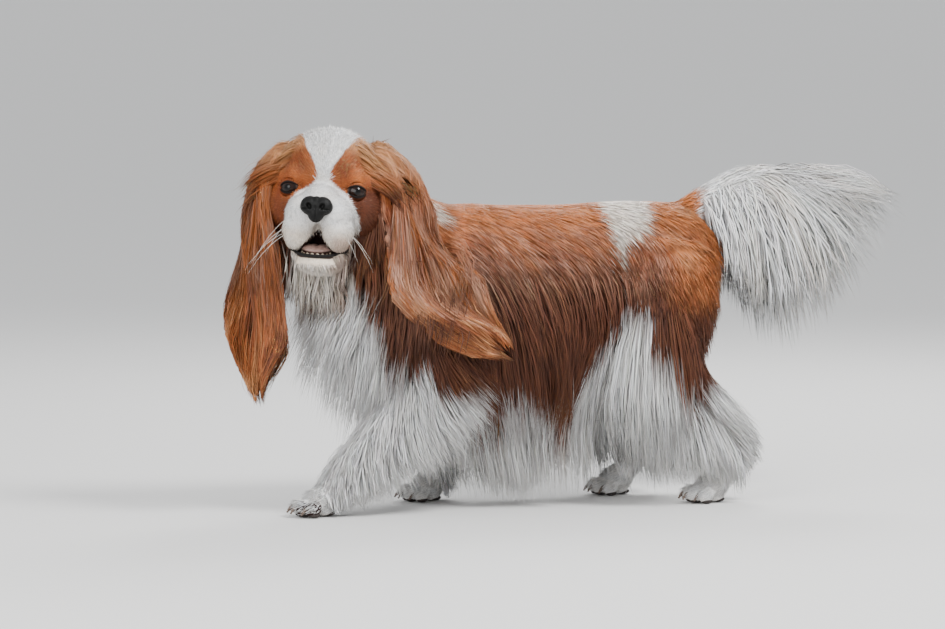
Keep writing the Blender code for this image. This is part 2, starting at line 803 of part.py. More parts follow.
def fuse(obj, pieces):
    """One union of an object with many closed ones, which are then removed."""
    group = bpy.data.collections.new("locks")
    bpy.context.scene.collection.children.link(group)
    for piece in pieces:
        for old in list(piece.users_collection):
            old.objects.unlink(piece)
        group.objects.link(piece)
    modifier = obj.modifiers.new("fuse", "BOOLEAN")
    modifier.operation = "UNION"
    modifier.operand_type = "COLLECTION"
    modifier.collection = group
    modifier.solver = "MANIFOLD"
    apply_modifiers(obj)
    for piece in pieces:
        bpy.data.objects.remove(piece)
    bpy.data.collections.remove(group)
    keep_largest(obj)


def spread(count):
    """Even steps from -1 to 1."""
    return [2 * k / (count - 1) - 1 for k in range(count)] if count > 1 else [0.0]


def sway(draw, amount):
    return Vector(draw.uniform(-amount, amount) for _ in range(3))


def on_skin(skin, start, direction):
    """Where a ray meets the skin, and the skin's normal there."""
    point, normal, _, _ = skin.ray_cast(Vector(start), Vector(direction))
    return point, normal


def skin_lock(node, skin, start, direction, first, last, length, wide, thick, draw):
    """A lock whose root is set in the skin where a ray meets it, or none where it misses."""
    point, normal = on_skin(skin, start, direction)
    if point is None:
        return []
    root = point - normal * SINK
    path = bend(root, Vector(first) + sway(draw, 0.12), Vector(last) + sway(draw, 0.12), length + SINK)
    return [{"node": node, "path": path, "facing": normal, "wide": wide, "thick": thick}]


def belly_locks(skins, draw):
    """The fringe: an outer row from the lower flank and an inner one from the belly, to near the floor."""
    made = []
    rows = {"left": (-0.072, 0.088), "right": (-0.050, 0.058)}
    for name, side in SIDES.items():
        low, high = rows[name]
        for k in range(FRINGE):
            x = low + (high - low) * (k + draw.uniform(-0.2, 0.2)) / (FRINGE - 1)
            made += skin_lock(
                "torso", skins["torso"], (x, side * 0.3, 0.176), (0, -side, 0),
                (0.10, side * 0.45, -1), (0.30, -side * 0.12, -1),
                draw.uniform(0.150, 0.166), 0.0175, 0.0050, draw,
            )
        for k in range(FRINGE // 2):
            x = low + (high - low) * (k + 0.5) / (FRINGE // 2)
            made += skin_lock(
                "torso", skins["torso"], (x, side * 0.026, -0.1), (0, 0, 1),
                (0.05, side * 0.1, -1), (0.25, side * 0.1, -1),
                draw.uniform(0.112, 0.124), 0.0190, 0.0050, draw,
            )
    return made


def bib_locks(skins, draw):
    """The chest's long hair, in rows down the neck and breast, blown a little back."""
    made = []
    for node, z, half, count, length in BIB_ROWS:
        for place in spread(count):
            y = -0.008 + place * half
            made += skin_lock(
                node, skins[node], (-0.5, y, z), (1, 0, 0),
                (-0.50, place * 0.4, -0.90), (0.16, place * 0.20, -1),
                length * draw.uniform(0.9, 1.1), 0.0185, 0.0050, draw,
            )
    return made


def hind_locks(skins, draw):
    """Breeches behind the thighs, the fringe in front of them and the feather down to the hocks."""
    made = []
    for name, side in SIDES.items():
        node = f"hindleg_{name}"
        for z, half, count, length in BREECH_ROWS:
            for place in spread(count):
                made += skin_lock(
                    node, skins[node], (0.5, side * (0.056 + place * half), z), (-1, 0, 0),
                    (0.7, side * 0.15, -0.7), (0.9, 0, -0.6),
                    length * draw.uniform(0.9, 1.1), 0.0145, 0.0045, draw,
                )
        for z, length in STIFLE_ROWS:
            for place in spread(2):
                made += skin_lock(
                    node, skins[node], (0.0, side * (0.058 + place * 0.014), z), (1, 0, 0),
                    (-0.35, side * 0.15, -0.95), (0.25, 0, -1),
                    length * draw.uniform(0.92, 1.08), 0.0175, 0.0045, draw,
                )
    for z, half, count, length in RUMP_ROWS:
        for place in spread(count):
            made += skin_lock(
                "torso", skins["torso"], (0.5, place * half, z), (-1, 0, 0),
                (0.25, place * 0.3, -0.95), (0.22, place * 0.1, -1),
                length * draw.uniform(0.9, 1.1), 0.0180, 0.0045, draw,
            )
    return made


def fore_locks(draw):
    """The feather behind each foreleg: blown back at the elbow, hanging below it."""
    made = []
    for name, side in SIDES.items():
        rows = smooth_stations(FORELEG[name], 4)
        for k in range(FORE_FEATHERS):
            at = rows[ELBOW_ROW + round(k * (len(rows) - ELBOW_ROW - WRIST_ROWS) / FORE_FEATHERS)]
            low = k / (FORE_FEATHERS - 1)
            for lean in (-1, 1):
                root = Vector((at[0], side * at[1] + lean * 0.004, at[2]))
                first = Vector((1 - 0.5 * low, lean * 0.22, -0.30 - 0.5 * low))
                last = Vector((0.75 - 0.4 * low, lean * 0.05, -0.5 - 0.5 * low))
                reach = min(0.078 - 0.012 * low, at[2] * 0.95)
                made.append({
                    "node": f"foreleg_{name}",
                    "path": bend(root, first + sway(draw, 0.08), last + sway(draw, 0.08), reach),
                    "facing": (0, lean, 0.1), "wide": 0.0135, "thick": 0.0045,
                })
    return made


def foot_locks(draw):
    """The slippers: hair over the toes and behind the heel, down to near the floor."""
    made = []
    for name, (x, y) in PAWS.items():
        for place in spread(3):
            root = Vector((x + 0.002, y + place * 0.008, 0.019))
            path = bend(
                root, (-0.95, place * 0.55, 0.16), (-0.55, place * 0.35, -0.95),
                draw.uniform(0.037, 0.041) - 0.005 * abs(place),
            )
            made.append({
                "node": name, "path": path, "facing": (-0.4, place * 0.5, 0.8),
                "wide": 0.0098, "thick": 0.0040,
            })
        path = bend(Vector((x + 0.004, y, 0.016)), (1, 0, 0), (0.5, 0, -0.9), draw.uniform(0.026, 0.030))
        made.append({"node": name, "path": path, "facing": (0.6, 0, 0.6), "wide": 0.0110, "thick": 0.0038})
    return made


def ear_rows(name):
    """An ear's middle line on the dog, four steps to a station: centre, half width and facing."""
    side = HEAD_SIDES[name]
    turn = HEAD.to_3x3()
    rows = []
    for x, y, z, wide, degrees in smooth_stations(EAR[name], 4):
        a = math.radians(degrees)
        facing = turn @ Vector((side * math.cos(a), -math.sin(a), 0))
        rows.append((HEAD @ Vector((side * x, y, z)), wide, facing))
    return rows


def ear_locks(name, draw):
    """Tresses that run down the ear's length in three layers and end past its edge."""
    rows = ear_rows(name)
    last = len(rows) - 1
    made = []
    for start, end, count, lift in EAR_LAYERS:
        for place in spread(count):
            path = []
            reach = end - abs(place) * 0.10 + draw.uniform(-0.03, 0.03)
            for k in range(LOCK_POINTS):
                at = (start + (reach - start) * k / (LOCK_POINTS - 1)) * last
                i = min(int(at), last - 1)
                centre = rows[i][0].lerp(rows[i + 1][0], at - i)
                wide = rows[i][1] + (rows[i + 1][1] - rows[i][1]) * (at - i)
                facing = rows[i][2]
                along = (rows[i + 1][0] - rows[i][0]).normalized()
                across = along.cross(facing).normalized()
                out = across.cross(along).normalized()
                side = place * (0.74 if k else 0.62)
                stand = lift * min(k / 2, 1) - 0.16 * wide * side * side
                path.append(centre + across * side * wide + out * stand)
            made.append({
                "node": f"ear_{name}", "path": path, "facing": rows[last // 2][2],
                "wide": EAR_LOCK, "thick": 0.0042,
            })
    return made


def tail_locks(draw):
    """The plume: tresses from all along the bone to the tips' outline, in three layers."""
    bone = smooth_stations(TAIL, 6)
    made = []
    for layer, count in PLUME_LAYERS:
        for k in range(count):
            share = (k + draw.uniform(-0.15, 0.15)) / (count - 1)
            share = min(max(share, 0), 1)
            tip = outline(PLUME, share)
            x, z, wide, _ = bone[round((0.18 + 0.74 * (1 - share) ** 1.15) * (len(bone) - 1))]
            root = Vector((x, layer * 0.004, z))
            end = Vector((tip[0], layer * (0.012 + 0.016 * draw.random()), tip[1]))
            reach = (end - root).length
            middle = root.lerp(end, 0.45) + Vector((0.10 * reach, layer * 0.010, 0.10 * reach))
            made.append({
                "node": "tail", "path": bezier(root, middle, end), "facing": (0, 1 if layer >= 0 else -1, 0),
                "wide": 0.0165, "thick": 0.0050,
            })
    return made


def outline(points, share):
    """A point this share of the way along a list of points."""
    at = share * (len(points) - 1)
    i = min(int(at), len(points) - 2)
    return Vector(points[i]).lerp(Vector(points[i + 1]), at - i)


def add_locks(parts):
    draw = random.Random(11)
    skins = {name: tree(obj) for name, obj in parts.items()}
    locks = ear_locks("left", draw) + ear_locks("right", draw) + tail_locks(draw)
    locks += foot_locks(draw) + fore_locks(draw) + hind_locks(skins, draw)
    locks += bib_locks(skins, draw) + belly_locks(skins, draw)
    place_locks(parts, locks)


def stand_over_origin(objects):
    """Moves the whole dog level, so that the middle of its box is over the origin."""
    points = [vert.co for obj in objects for vert in obj.data.vertices]
    middle = [(min(p[i] for p in points) + max(p[i] for p in points)) / 2 for i in range(2)]
    for obj in objects:
        obj.data.transform(Matrix.Translation((-middle[0], -middle[1], 0)))


def main():
    clear_scene()
    parts = flesh()
    parts.update(head_parts())
    for name in SIDES:
        parts[f"ear_{name}"] = ear(name)
        cut_clear(parts[f"ear_{name}"], [parts["head"]])
    for name in PAWS:
        parts[name] = paw(name)
    cut_clear(parts["neck"], [parts["head"]])
    cut_clear(parts["ear_left"], [parts["neck"]], 0.0015)
    for limb in ("fore", "hind"):
        for name in SIDES:
            cut_clear(parts[f"{limb}leg_{name}"], [parts[f"{limb}paw_{name}"]])
    add_locks(parts)
    stand_over_origin(parts.values())
    collection = bpy.data.collections.new("cavalier king charles spaniel")
    bpy.context.scene.collection.children.link(collection)
    for name, obj in parts.items():
        obj.name = name
        paint(obj, *FINISH.get(name, (PEARL, 0.8)))
        for old in list(obj.users_collection):
            old.objects.unlink(obj)
        collection.objects.link(obj)


main()
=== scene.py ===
"""A cavalier king charles spaniel in life size: skin, eyes, nose, mouth, claws and a coat of tufts and locks.

The dog is laid out in its own frame, walking towards -X with its left side at -Y and the floor at z = 0,
and everything is moved by SHIFT to lie over the CAD model.
"""
import math

import bmesh
import bpy
import numpy as np
from mathutils import Matrix, Vector
from mathutils.bvhtree import BVHTree
from mathutils.kdtree import KDTree


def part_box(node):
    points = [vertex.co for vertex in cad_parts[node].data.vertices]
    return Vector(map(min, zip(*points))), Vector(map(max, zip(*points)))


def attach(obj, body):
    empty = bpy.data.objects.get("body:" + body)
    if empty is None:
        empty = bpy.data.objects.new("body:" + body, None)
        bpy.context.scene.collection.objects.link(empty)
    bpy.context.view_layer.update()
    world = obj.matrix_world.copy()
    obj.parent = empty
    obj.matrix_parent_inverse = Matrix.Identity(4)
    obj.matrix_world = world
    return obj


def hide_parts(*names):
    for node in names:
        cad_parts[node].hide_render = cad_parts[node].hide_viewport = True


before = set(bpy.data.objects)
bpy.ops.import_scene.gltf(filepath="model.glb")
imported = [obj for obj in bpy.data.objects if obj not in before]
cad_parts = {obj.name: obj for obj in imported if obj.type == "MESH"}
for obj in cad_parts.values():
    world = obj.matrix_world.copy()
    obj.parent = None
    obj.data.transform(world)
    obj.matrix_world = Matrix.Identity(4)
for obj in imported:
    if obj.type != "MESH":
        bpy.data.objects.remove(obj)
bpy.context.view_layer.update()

bl_info = {
    "name": "Cavalier king charles spaniel",
    "version": (1, 0, 0),
    "blender": (4, 5, 0),
    "location": "3D View > Sidebar > Spaniel",
    "description": "Builds the spaniel's skin, coat and features over its CAD model",
    "category": "Add Mesh",
}

# Driving sizes, in metres
EYE_RADIUS = 0.0115
SKIN_VOXEL = 0.0024
MOUTH_TOP = -0.0412  # where the open mouth begins under the nose, in the head's frame
EAR_LEATHER = 0.56  # the share of the ear's length that its leather fills
ROOT_DEPTH = 0.0012  # how deep a long tuft's root lies in the skin
FLOOR_GAP = 0.003  # how far all hair stays above the floor
TUFT_RISE = 0.24  # a tuft's height over its width
FINE_SHARE = 0.42  # the share of tufts that are much finer than the others
STREAK_WIDTH = 0.00038  # the streaks that the material draws on a tuft
STREAK_LENGTH = 0.012
ROOT_TONE = 0.9  # a tuft's tone at its root, against its place's colour
PATCH = 0.003  # how wide each tuft's place on the unwrap is
FULL_PHASE = 6.28  # about one turn, for waves that start anywhere
CAMERA_TURN = -18.0  # degrees round the dog
CAMERA_RISE = 4.0
CAMERA_FAR = 5.0
SENSOR = 36.0  # in mm
FLOOR_HALF = 220.0
FRAME_WIDE = 0.992  # what the picture spans at the dog
LOOK_AT = (-0.05, 0.198)  # middle of the picture, across and up from the dog's origin
# Lamps: place, diameter and power in watts
LAMPS = (
    ("key", (0.9, -1.5, 2.2), 1.0, 88.0),
    ("fill", (-1.8, -1.8, 1.0), 1.8, 46.0),
    ("rim", (0.8, 1.4, 1.6), 1.0, 30.0),
)

COAT_SLOT = "chestnut_coat"
WHITE_SLOT = "white_coat"
LEATHER_SLOT = "nose_leather"
TINTS = ("lit", "mid", "dark", "pale", "sheen", "white", "cream")

# How many tufts each piece of coat has
TUFTS = {
    "face": 11800, "crown": 2800, "temples": 2400, "throat": 2300, "chin": 2200,
    "lids_left": 900, "lids_right": 900,
    "ear_left": 4900, "ear_right": 3900, "ear_base_left": 1000, "ear_base_right": 1000,
    "body_left": 13800, "body_right": 9000, "bib": 5800, "rump": 1500,
    "flank_fringe_left": 3900, "flank_fringe_right": 2500,
    "belly_fringe_left": 2800, "belly_fringe_right": 1700,
    "foreleg_left": 3600, "foreleg_right": 2500,
    "foreleg_left_feather": 4000, "foreleg_right_feather": 2200,
    "hindleg_left": 4400, "hindleg_right": 3000,
    "hindleg_left_breeches": 2700, "hindleg_right_breeches": 1600,
    "hindleg_left_stifle": 3200, "hindleg_right_stifle": 1600,
    "paws": 3700, "tail_bone": 1600, "tail": 5300,
}
# A tuft's width at shares of its length, over its full width
TAPER = [(0, 0.72), (0.22, 1.0), (0.5, 0.92), (0.8, 0.5), (1, 0)]

# The head is modelled looking along -Y, with its own left towards +X, then turned and placed.
HEAD_POSE = (
    Matrix.Translation((-0.222, -0.04, 0.337))
    @ Matrix.Rotation(math.radians(-24), 4, "Z")
    @ Matrix.Rotation(math.radians(3.5), 4, "Y")
    @ Matrix.Rotation(math.radians(-4), 4, "X")
)
EYE_PLACE = (0.0345, -0.024, 0.0)  # where the solids have the eyes' centres
HEAD = Matrix.Translation((0, 0, -0.0018)) @ HEAD_POSE @ Matrix.Rotation(math.radians(2.2), 4, "X")
HEAD_BACK = HEAD.inverted()
HEAD_TURN = np.array(HEAD.to_3x3())
SIDES = {"left": -1, "right": 1}
HEAD_SIDES = {"left": 1, "right": -1}
ACROSS = Vector((0, 1, 0))
WITHERS = 0.319
# Torso: x, lowest z, highest z, half width
TORSO = [
    (-0.192, 0.19, 0.232, 0.024),
    (-0.172, 0.16, 0.262, 0.05),
    (-0.135, 0.142, 0.292, 0.066),
    (-0.085, 0.136, WITHERS, 0.075),
    (-0.02, 0.136, WITHERS, 0.08),
    (0.04, 0.146, WITHERS, 0.079),
    (0.09, 0.162, WITHERS + 0.002, 0.072),
    (0.14, 0.178, WITHERS + 0.003, 0.068),
    (0.182, 0.2, WITHERS, 0.058),
    (0.208, 0.228, WITHERS - 0.018, 0.036),
]
# Neck: x, y, z, half width, half depth
NECK = [
    (-0.075, 0.000, 0.232, 0.06, 0.07),
    (-0.12, -0.004, 0.262, 0.06, 0.068),
    (-0.16, -0.012, 0.29, 0.053, 0.058),
    (-0.19, -0.02, 0.314, 0.047, 0.048),
    (-0.21, -0.026, 0.332, 0.036, 0.036),
]
# Legs: x, distance out from the middle, z, half width across, half depth fore and aft
FORELEG = {
    "left": [
        (-0.105, 0.05, 0.215, 0.024, 0.038),
        (-0.118, 0.058, 0.17, 0.022, 0.032),
        (-0.132, 0.058, 0.132, 0.017, 0.023),
        (-0.17, 0.056, 0.088, 0.015, 0.018),
        (-0.205, 0.055, 0.05, 0.0145, 0.0165),
        (-0.226, 0.054, 0.024, 0.014, 0.015),
    ],
    "right": [
        (-0.105, 0.05, 0.215, 0.024, 0.038),
        (-0.105, 0.056, 0.17, 0.022, 0.032),
        (-0.098, 0.056, 0.132, 0.017, 0.023),
        (-0.09, 0.054, 0.088, 0.015, 0.018),
        (-0.079, 0.052, 0.05, 0.0145, 0.0165),
        (-0.078, 0.052, 0.024, 0.014, 0.015),
    ],
}
HINDLEG = {
    "left": [
        (0.15, 0.036, 0.27, 0.03, 0.05),
        (0.144, 0.05, 0.228, 0.032, 0.058),
        (0.138, 0.058, 0.184, 0.028, 0.048),
        (0.15, 0.058, 0.14, 0.022, 0.036),
        (0.184, 0.056, 0.098, 0.017, 0.024),
        (0.213, 0.054, 0.066, 0.0145, 0.019),
        (0.214, 0.053, 0.044, 0.0135, 0.0165),
        (0.202, 0.052, 0.024, 0.014, 0.015),
    ],
    "right": [
        (0.15, 0.036, 0.27, 0.03, 0.05),
        (0.136, 0.05, 0.228, 0.032, 0.058),
        (0.112, 0.058, 0.184, 0.028, 0.048),
        (0.108, 0.058, 0.14, 0.022, 0.036),
        (0.13, 0.056, 0.098, 0.017, 0.024),
        (0.151, 0.054, 0.066, 0.0145, 0.019),
        (0.147, 0.053, 0.044, 0.0135, 0.0165),
        (0.133, 0.052, 0.024, 0.014, 0.015),
    ],
}
# Where each paw's middle stands: x and distance out
PAWS = {
    "forepaw_left": (-0.234, -0.055),
    "forepaw_right": (-0.086, 0.052),
    "hindpaw_left": (0.194, -0.052),
    "hindpaw_right": (0.125, 0.052),
}
# Tail bone with its short hair: x, z, half width, half depth
TAIL = [
    (0.176, 0.292, 0.022, 0.024),
    (0.206, 0.312, 0.018, 0.02),
    (0.238, 0.332, 0.015, 0.017),
    (0.275, 0.338, 0.013, 0.015),
    (0.312, 0.33, 0.01, 0.012),
    (0.345, 0.314, 0.007, 0.008),
]
# Ears in the head's frame, down the middle: x outwards, y, z, half width, degrees turned to face forward
EAR = {
    "left": [
        (0.036, 0.012, 0.04, 0.022, 8),
        (0.056, 0.012, 0.034, 0.027, 14),
        (0.071, 0.011, 0.014, 0.029, 26),
        (0.08, 0.004, -0.018, 0.031, 38),
        (0.092, -0.005, -0.052, 0.037, 50),
        (0.11, -0.008, -0.088, 0.043, 58),
        (0.134, -0.005, -0.122, 0.043, 62),
        (0.164, 0.004, -0.15, 0.026, 62),
        (0.19, 0.012, -0.172, 0.005, 62),
    ],
    "right": [
        (0.036, 0.012, 0.04, 0.022, 8),
        (0.055, 0.011, 0.032, 0.027, 14),
        (0.067, 0.007, 0.006, 0.029, 26),
        (0.071, 0.000, -0.03, 0.03, 36),
        (0.07, -0.007, -0.07, 0.033, 46),
        (0.067, -0.011, -0.112, 0.037, 52),
        (0.066, -0.013, -0.155, 0.039, 54),
        (0.061, -0.013, -0.192, 0.025, 54),
        (0.053, -0.012, -0.22, 0.006, 54),
    ],
}
# The head's flesh: centre and radii of each ball, in the head's frame; the last number says if it is a pair
SKULL = [
    ((0, 0.012, 0.019), (0.049, 0.056, 0.044), False),
    ((0.015, 0.006, 0.026), (0.03, 0.044, 0.033), True),
    ((0.026, -0.024, 0.014), (0.018, 0.016, 0.016), True),
    ((0, -0.02, 0.022), (0.03, 0.022, 0.03), False),
    ((0.038, 0.000, -0.02), (0.025, 0.038, 0.032), True),
    ((0.039, 0.01, 0.006), (0.022, 0.038, 0.032), True),
    ((0.0325, -0.022, -0.001), (0.017, 0.015, 0.0155), True),
    ((0, -0.044, -0.012), (0.021, 0.031, 0.019), False),
    ((0.017, -0.048, -0.026), (0.0195, 0.026, 0.022), True),
    ((0.0205, -0.048, -0.043), (0.018, 0.0245, 0.023), True),
    ((0.026, -0.03, -0.016), (0.019, 0.02, 0.018), True),
    ((0, 0.000, -0.048), (0.031, 0.045, 0.026), False),
]
JAW = [
    ((0, -0.032, -0.0705), (0.0265, 0.034, 0.0115), False),
    ((0, -0.052, -0.075), (0.0215, 0.015, 0.009), False),
]
# A paw pointing along -X: two middle toes, two outer toes, wrist, heel pad
PAW = [
    ((-0.02, 0.0062, 0.01), (0.0115, 0.007, 0.0106), True),
    ((-0.012, 0.0165, 0.009), (0.0105, 0.007, 0.0096), True),
    ((0.001, 0.0000, 0.017), (0.018, 0.017, 0.015), False),
    ((0.003, 0.0000, 0.005), (0.0125, 0.013, 0.006), False),
]
# The plume's tips from the top to the underside: x, z
PLUME = [
    (0.345, 0.336), (0.398, 0.329), (0.436, 0.32), (0.431, 0.294), (0.41, 0.258), (0.38, 0.216),
    (0.345, 0.186), (0.312, 0.15), (0.268, 0.166), (0.24, 0.196), (0.216, 0.23), (0.204, 0.262),
]

# How deep the coat lies over the skin on each form
DEPTH = {"torso": 0.0065, "neck": 0.0065, "leg": 0.003, "tail": 0.004, "head": 0.0022, "paw": 0.0012}

# The blaze in the head's frame: height and half width
BLAZE = [
    (-0.06, 0.03), (-0.036, 0.039), (-0.025, 0.037), (-0.012, 0.031), (-0.003, 0.024), (0.003, 0.013),
    (0.01, 0.0064), (0.018, 0.0064), (0.03, 0.013), (0.045, 0.023), (0.06, 0.028),
]
# Outlines of markings on the left side as the camera sees it, across and up in mm
STRIPE = [(-94, 315), (-87, 314), (-75, 295), (-78, 288), (-87, 295)]
LOIN = [
    (80, 317), (84, 329), (124, 329), (132, 318), (138, 303), (135, 285), (126, 278), (111, 271), (106, 260),
    (100, 237), (97, 237), (102, 255), (100, 273), (92, 296),
]
LOWER = [
    (-88, 54), (-72, 64), (-57, 75), (-39, 72), (-24, 64), (-16, 82), (-3, 85), (4, 94), (15, 80), (33, 69),
    (44, 60), (52, 77), (55, 98), (63, 113), (66, 131), (79, 143), (93, 159), (104, 175), (116, 190),
    (128, 195), (134, 187), (141, 176), (135, 164), (143, 146), (152, 133), (158, 123), (166, 118),
    (172, 100), (185, 94), (195, 103), (208, 121), (217, 138), (294, 150), (294, -23), (-88, -23),
]
BIB = [
    (-235, 253), (-170, 253), (-173, 235), (-168, 213), (-164, 201), (-153, 186), (-143, 168), (-143, 152),
    (-138, 135), (-127, 130), (-109, 130), (-94, 142), (-88, 119), (-81, 101), (-60, 96), (-55, 81),
    (-52, 61), (-68, -23), (-400, -23), (-400, 253),
]

BUILD = {}  # what the skin's operator leaves for the others: the skin's arrays and its forms


def unit(rows):
    """Rows scaled to length one."""
    return rows / np.maximum(np.linalg.norm(rows, axis=-1, keepdims=True), 1e-9)


def hex_colour(code):
    """A linear colour from sRGB hex."""
    values = np.array([int(code[i : i + 2], 16) / 255 for i in (1, 3, 5)])
    return np.where(values <= 0.04045, values / 12.92, ((values + 0.055) / 1.055) ** 2.4)


def ripple(points, size, seed):
    """Smooth noise from about -1 to 1, with features of about this size."""
    draw = np.random.default_rng(seed)
    total = np.zeros(len(points))
    for _ in range(6):
        wave = draw.normal(size=3)
        wave *= 2 * np.pi / size / np.linalg.norm(wave) * draw.uniform(0.6, 1.4)
        total += np.sin(points @ wave + draw.uniform(0, FULL_PHASE))
    return total / 2.6


def step(value, low, high):
    """0 below low, 1 above high and smooth between."""
    t = np.clip((value - low) / (high - low), 0, 1)
    return t * t * (3 - 2 * t)


def place(points, matrix):
    """Points moved by a matrix."""
    m = np.array(matrix)
    return points @ m[:3, :3].T + m[:3, 3]


def seen(points):
    """Where the camera sees points of the left side, across and up in mm; the right side is mirrored."""
    turn, rise = math.radians(CAMERA_TURN), math.radians(CAMERA_RISE)
    x, y, z = points.T
    y = -np.abs(y)
    across = x * math.cos(turn) + y * math.sin(turn)
    up = -x * math.sin(turn) * math.sin(rise) + y * math.cos(turn) * math.sin(rise) + z * math.cos(rise)
    return np.stack([across, up], 1) * 1000


def inside(spots, outline, soft=1.2):
    """1 inside a closed outline and 0 outside it, with a soft edge."""
    a = np.array(outline, float)
    b = np.roll(a, -1, 0)
    x, y = spots[:, :1], spots[:, 1:]
    run = b - a
    t = np.clip(((x - a[:, 0]) * run[:, 0] + (y - a[:, 1]) * run[:, 1]) / (run**2).sum(1), 0, 1)
    gap = np.hypot(x - a[:, 0] - t * run[:, 0], y - a[:, 1] - t * run[:, 1]).min(1)
    high = np.where(np.abs(run[:, 1]) < 1e-9, 1e-9, run[:, 1])
    crossed = ((a[:, 1] > y) != (b[:, 1] > y)) & (x < a[:, 0] + run[:, 0] * (y - a[:, 1]) / high)
    return step(np.where(crossed.sum(1) % 2 == 1, gap, -gap), -soft, soft)


def gaze(side):
    """The direction that an eye looks in, in the head's frame."""
    return Vector((side * 0.3, -0.95, 0.03)).normalized()


def eye_centre(side):
    """An eye's middle in the head's frame."""
    return Vector((side * 0.0325, -0.0245, -0.001))


def eye_spot(side, ahead=0.0):
    """The place and turn of an eye, or of a point ahead of it; its own Z is the line of sight."""
    turn = gaze(side).to_track_quat("Z", "Y").to_matrix().to_4x4()
    return HEAD @ Matrix.Translation(eye_centre(side) + gaze(side) * ahead) @ turn


def off_sight(points, centre, look):
    """How far points lie ahead of a centre, and how far from its line of sight."""
    away = points - np.array(centre)
    look = np.array(look)
    ahead = away @ look
    return ahead, np.linalg.norm(away - ahead[:, None] * look, axis=1)


def find_shift():
    """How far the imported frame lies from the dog's own, from where the left eye is."""
    low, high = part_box("eye_left")
    return (Vector(low) + Vector(high)) / 2 - HEAD_POSE @ Vector(EYE_PLACE)


SHIFT = find_shift()


def link(name, mesh):
    obj = bpy.data.objects.new(name, mesh)
    bpy.context.scene.collection.objects.link(obj)
    return obj


def from_bmesh(name, bm):
    mesh = bpy.data.meshes.new(name)
    bm.to_mesh(mesh)
    bm.free()
    return link(name, mesh)


def evaluate(obj):
    """Applies an object's modifiers."""
    graph = bpy.context.evaluated_depsgraph_get()
    mesh = bpy.data.meshes.new_from_object(obj.evaluated_get(graph))
    obj.modifiers.clear()
    obj.data = mesh
    return obj


def read_rows(items, key, kind=float):
    """A property of all items as rows of three numbers, such as the vertices' places."""
    rows = np.empty(len(items) * 3, kind)
    items.foreach_get(key, rows)
    return rows.reshape(-1, 3)


def mesh_points(mesh):
    return read_rows(mesh.vertices, "co")


def write_layer(mesh, name, kind, rows):
    """Adds a layer with one value for each vertex."""
    key = {"FLOAT": "value", "FLOAT_VECTOR": "vector", "FLOAT_COLOR": "color"}[kind]
    mesh.attributes.new(name, kind, "POINT").data.foreach_set(key, rows.astype(np.float32).ravel())


def paint_points(mesh, colours, layer="hair"):
    """Gives each vertex its colour."""
    write_layer(mesh, layer, "FLOAT_COLOR", np.concatenate([colours, np.ones((len(colours), 1))], 1))


def write_unwrap(mesh, spots):
    """Adds the UV map for baking, with a spot for each corner."""
    layer = mesh.uv_layers.new(name="OFBake")
    layer.data.foreach_set("uv", np.clip(spots, 0, 1).astype(np.float32).ravel())


def corner_vertices(mesh):
    """The vertex of each face corner."""
    index = np.empty(len(mesh.loops), int)
    mesh.loops.foreach_get("vertex_index", index)
    return index


def melted(name, bm, voxel, rounds):
    """Closed forms melted into one smooth surface."""
    obj = from_bmesh(name, bm)
    remesh = obj.modifiers.new("melt", "REMESH")
    remesh.mode = "VOXEL"
    remesh.voxel_size = voxel
    soften = obj.modifiers.new("soften", "SMOOTH")
    soften.factor = 0.5
    soften.iterations = rounds
    return evaluate(obj)


def ellipsoid(bm, centre, radii, turn=None, sides=32):
    spot = Matrix.Translation(centre) @ (turn or Matrix.Identity(4)) @ Matrix.Diagonal((*radii, 1))
    bmesh.ops.create_uvsphere(bm, u_segments=sides, v_segments=sides // 2, radius=1, matrix=spot)


def shell(name, rows):
    """A ring-shaped surface over rows of points that each go round, closed from the last row to the first."""
    bm = bmesh.new()
    made = [[bm.verts.new(point) for point in row] for row in rows]
    count = len(rows[0])
    for lower, upper in zip(made, made[1:] + made[:1]):
        for i in range(count):
            j = (i + 1) % count
            bm.faces.new((lower[i], lower[j], upper[j], upper[i]))
    bmesh.ops.recalc_face_normals(bm, faces=bm.faces)
    return from_bmesh(name, bm)


def settle(obj, material, *nodes, slot):
    """Puts a finished piece over the CAD model, on its body, with its material."""
    obj.data.transform(Matrix.Translation(SHIFT))
    obj.data.polygons.foreach_set("use_smooth", [True] * len(obj.data.polygons))
    obj.data.materials.clear()
    obj.data.materials.append(material)
    obj.data.update()
    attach(obj, "root")
    if nodes:
        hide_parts(*nodes)


# Forms

def smooth_stations(stations, between):
    """Catmull-Rom points through rows of numbers, with this many steps between two rows."""
    rows = [Vector(row) for row in stations]
    rows = [rows[0] * 2 - rows[1], *rows, rows[-1] * 2 - rows[-2]]
    made = []
    for a, b, c, d in zip(rows, rows[1:], rows[2:], rows[3:]):
        for index in range(between):
            t = index / between
            curve = b * 2 + (c - a) * t + (a * 2 - b * 5 + c * 4 - d) * t**2 + (b * 3 - a - c * 3 + d) * t**3
            made.append(curve / 2)
    return [*made, rows[-2]]


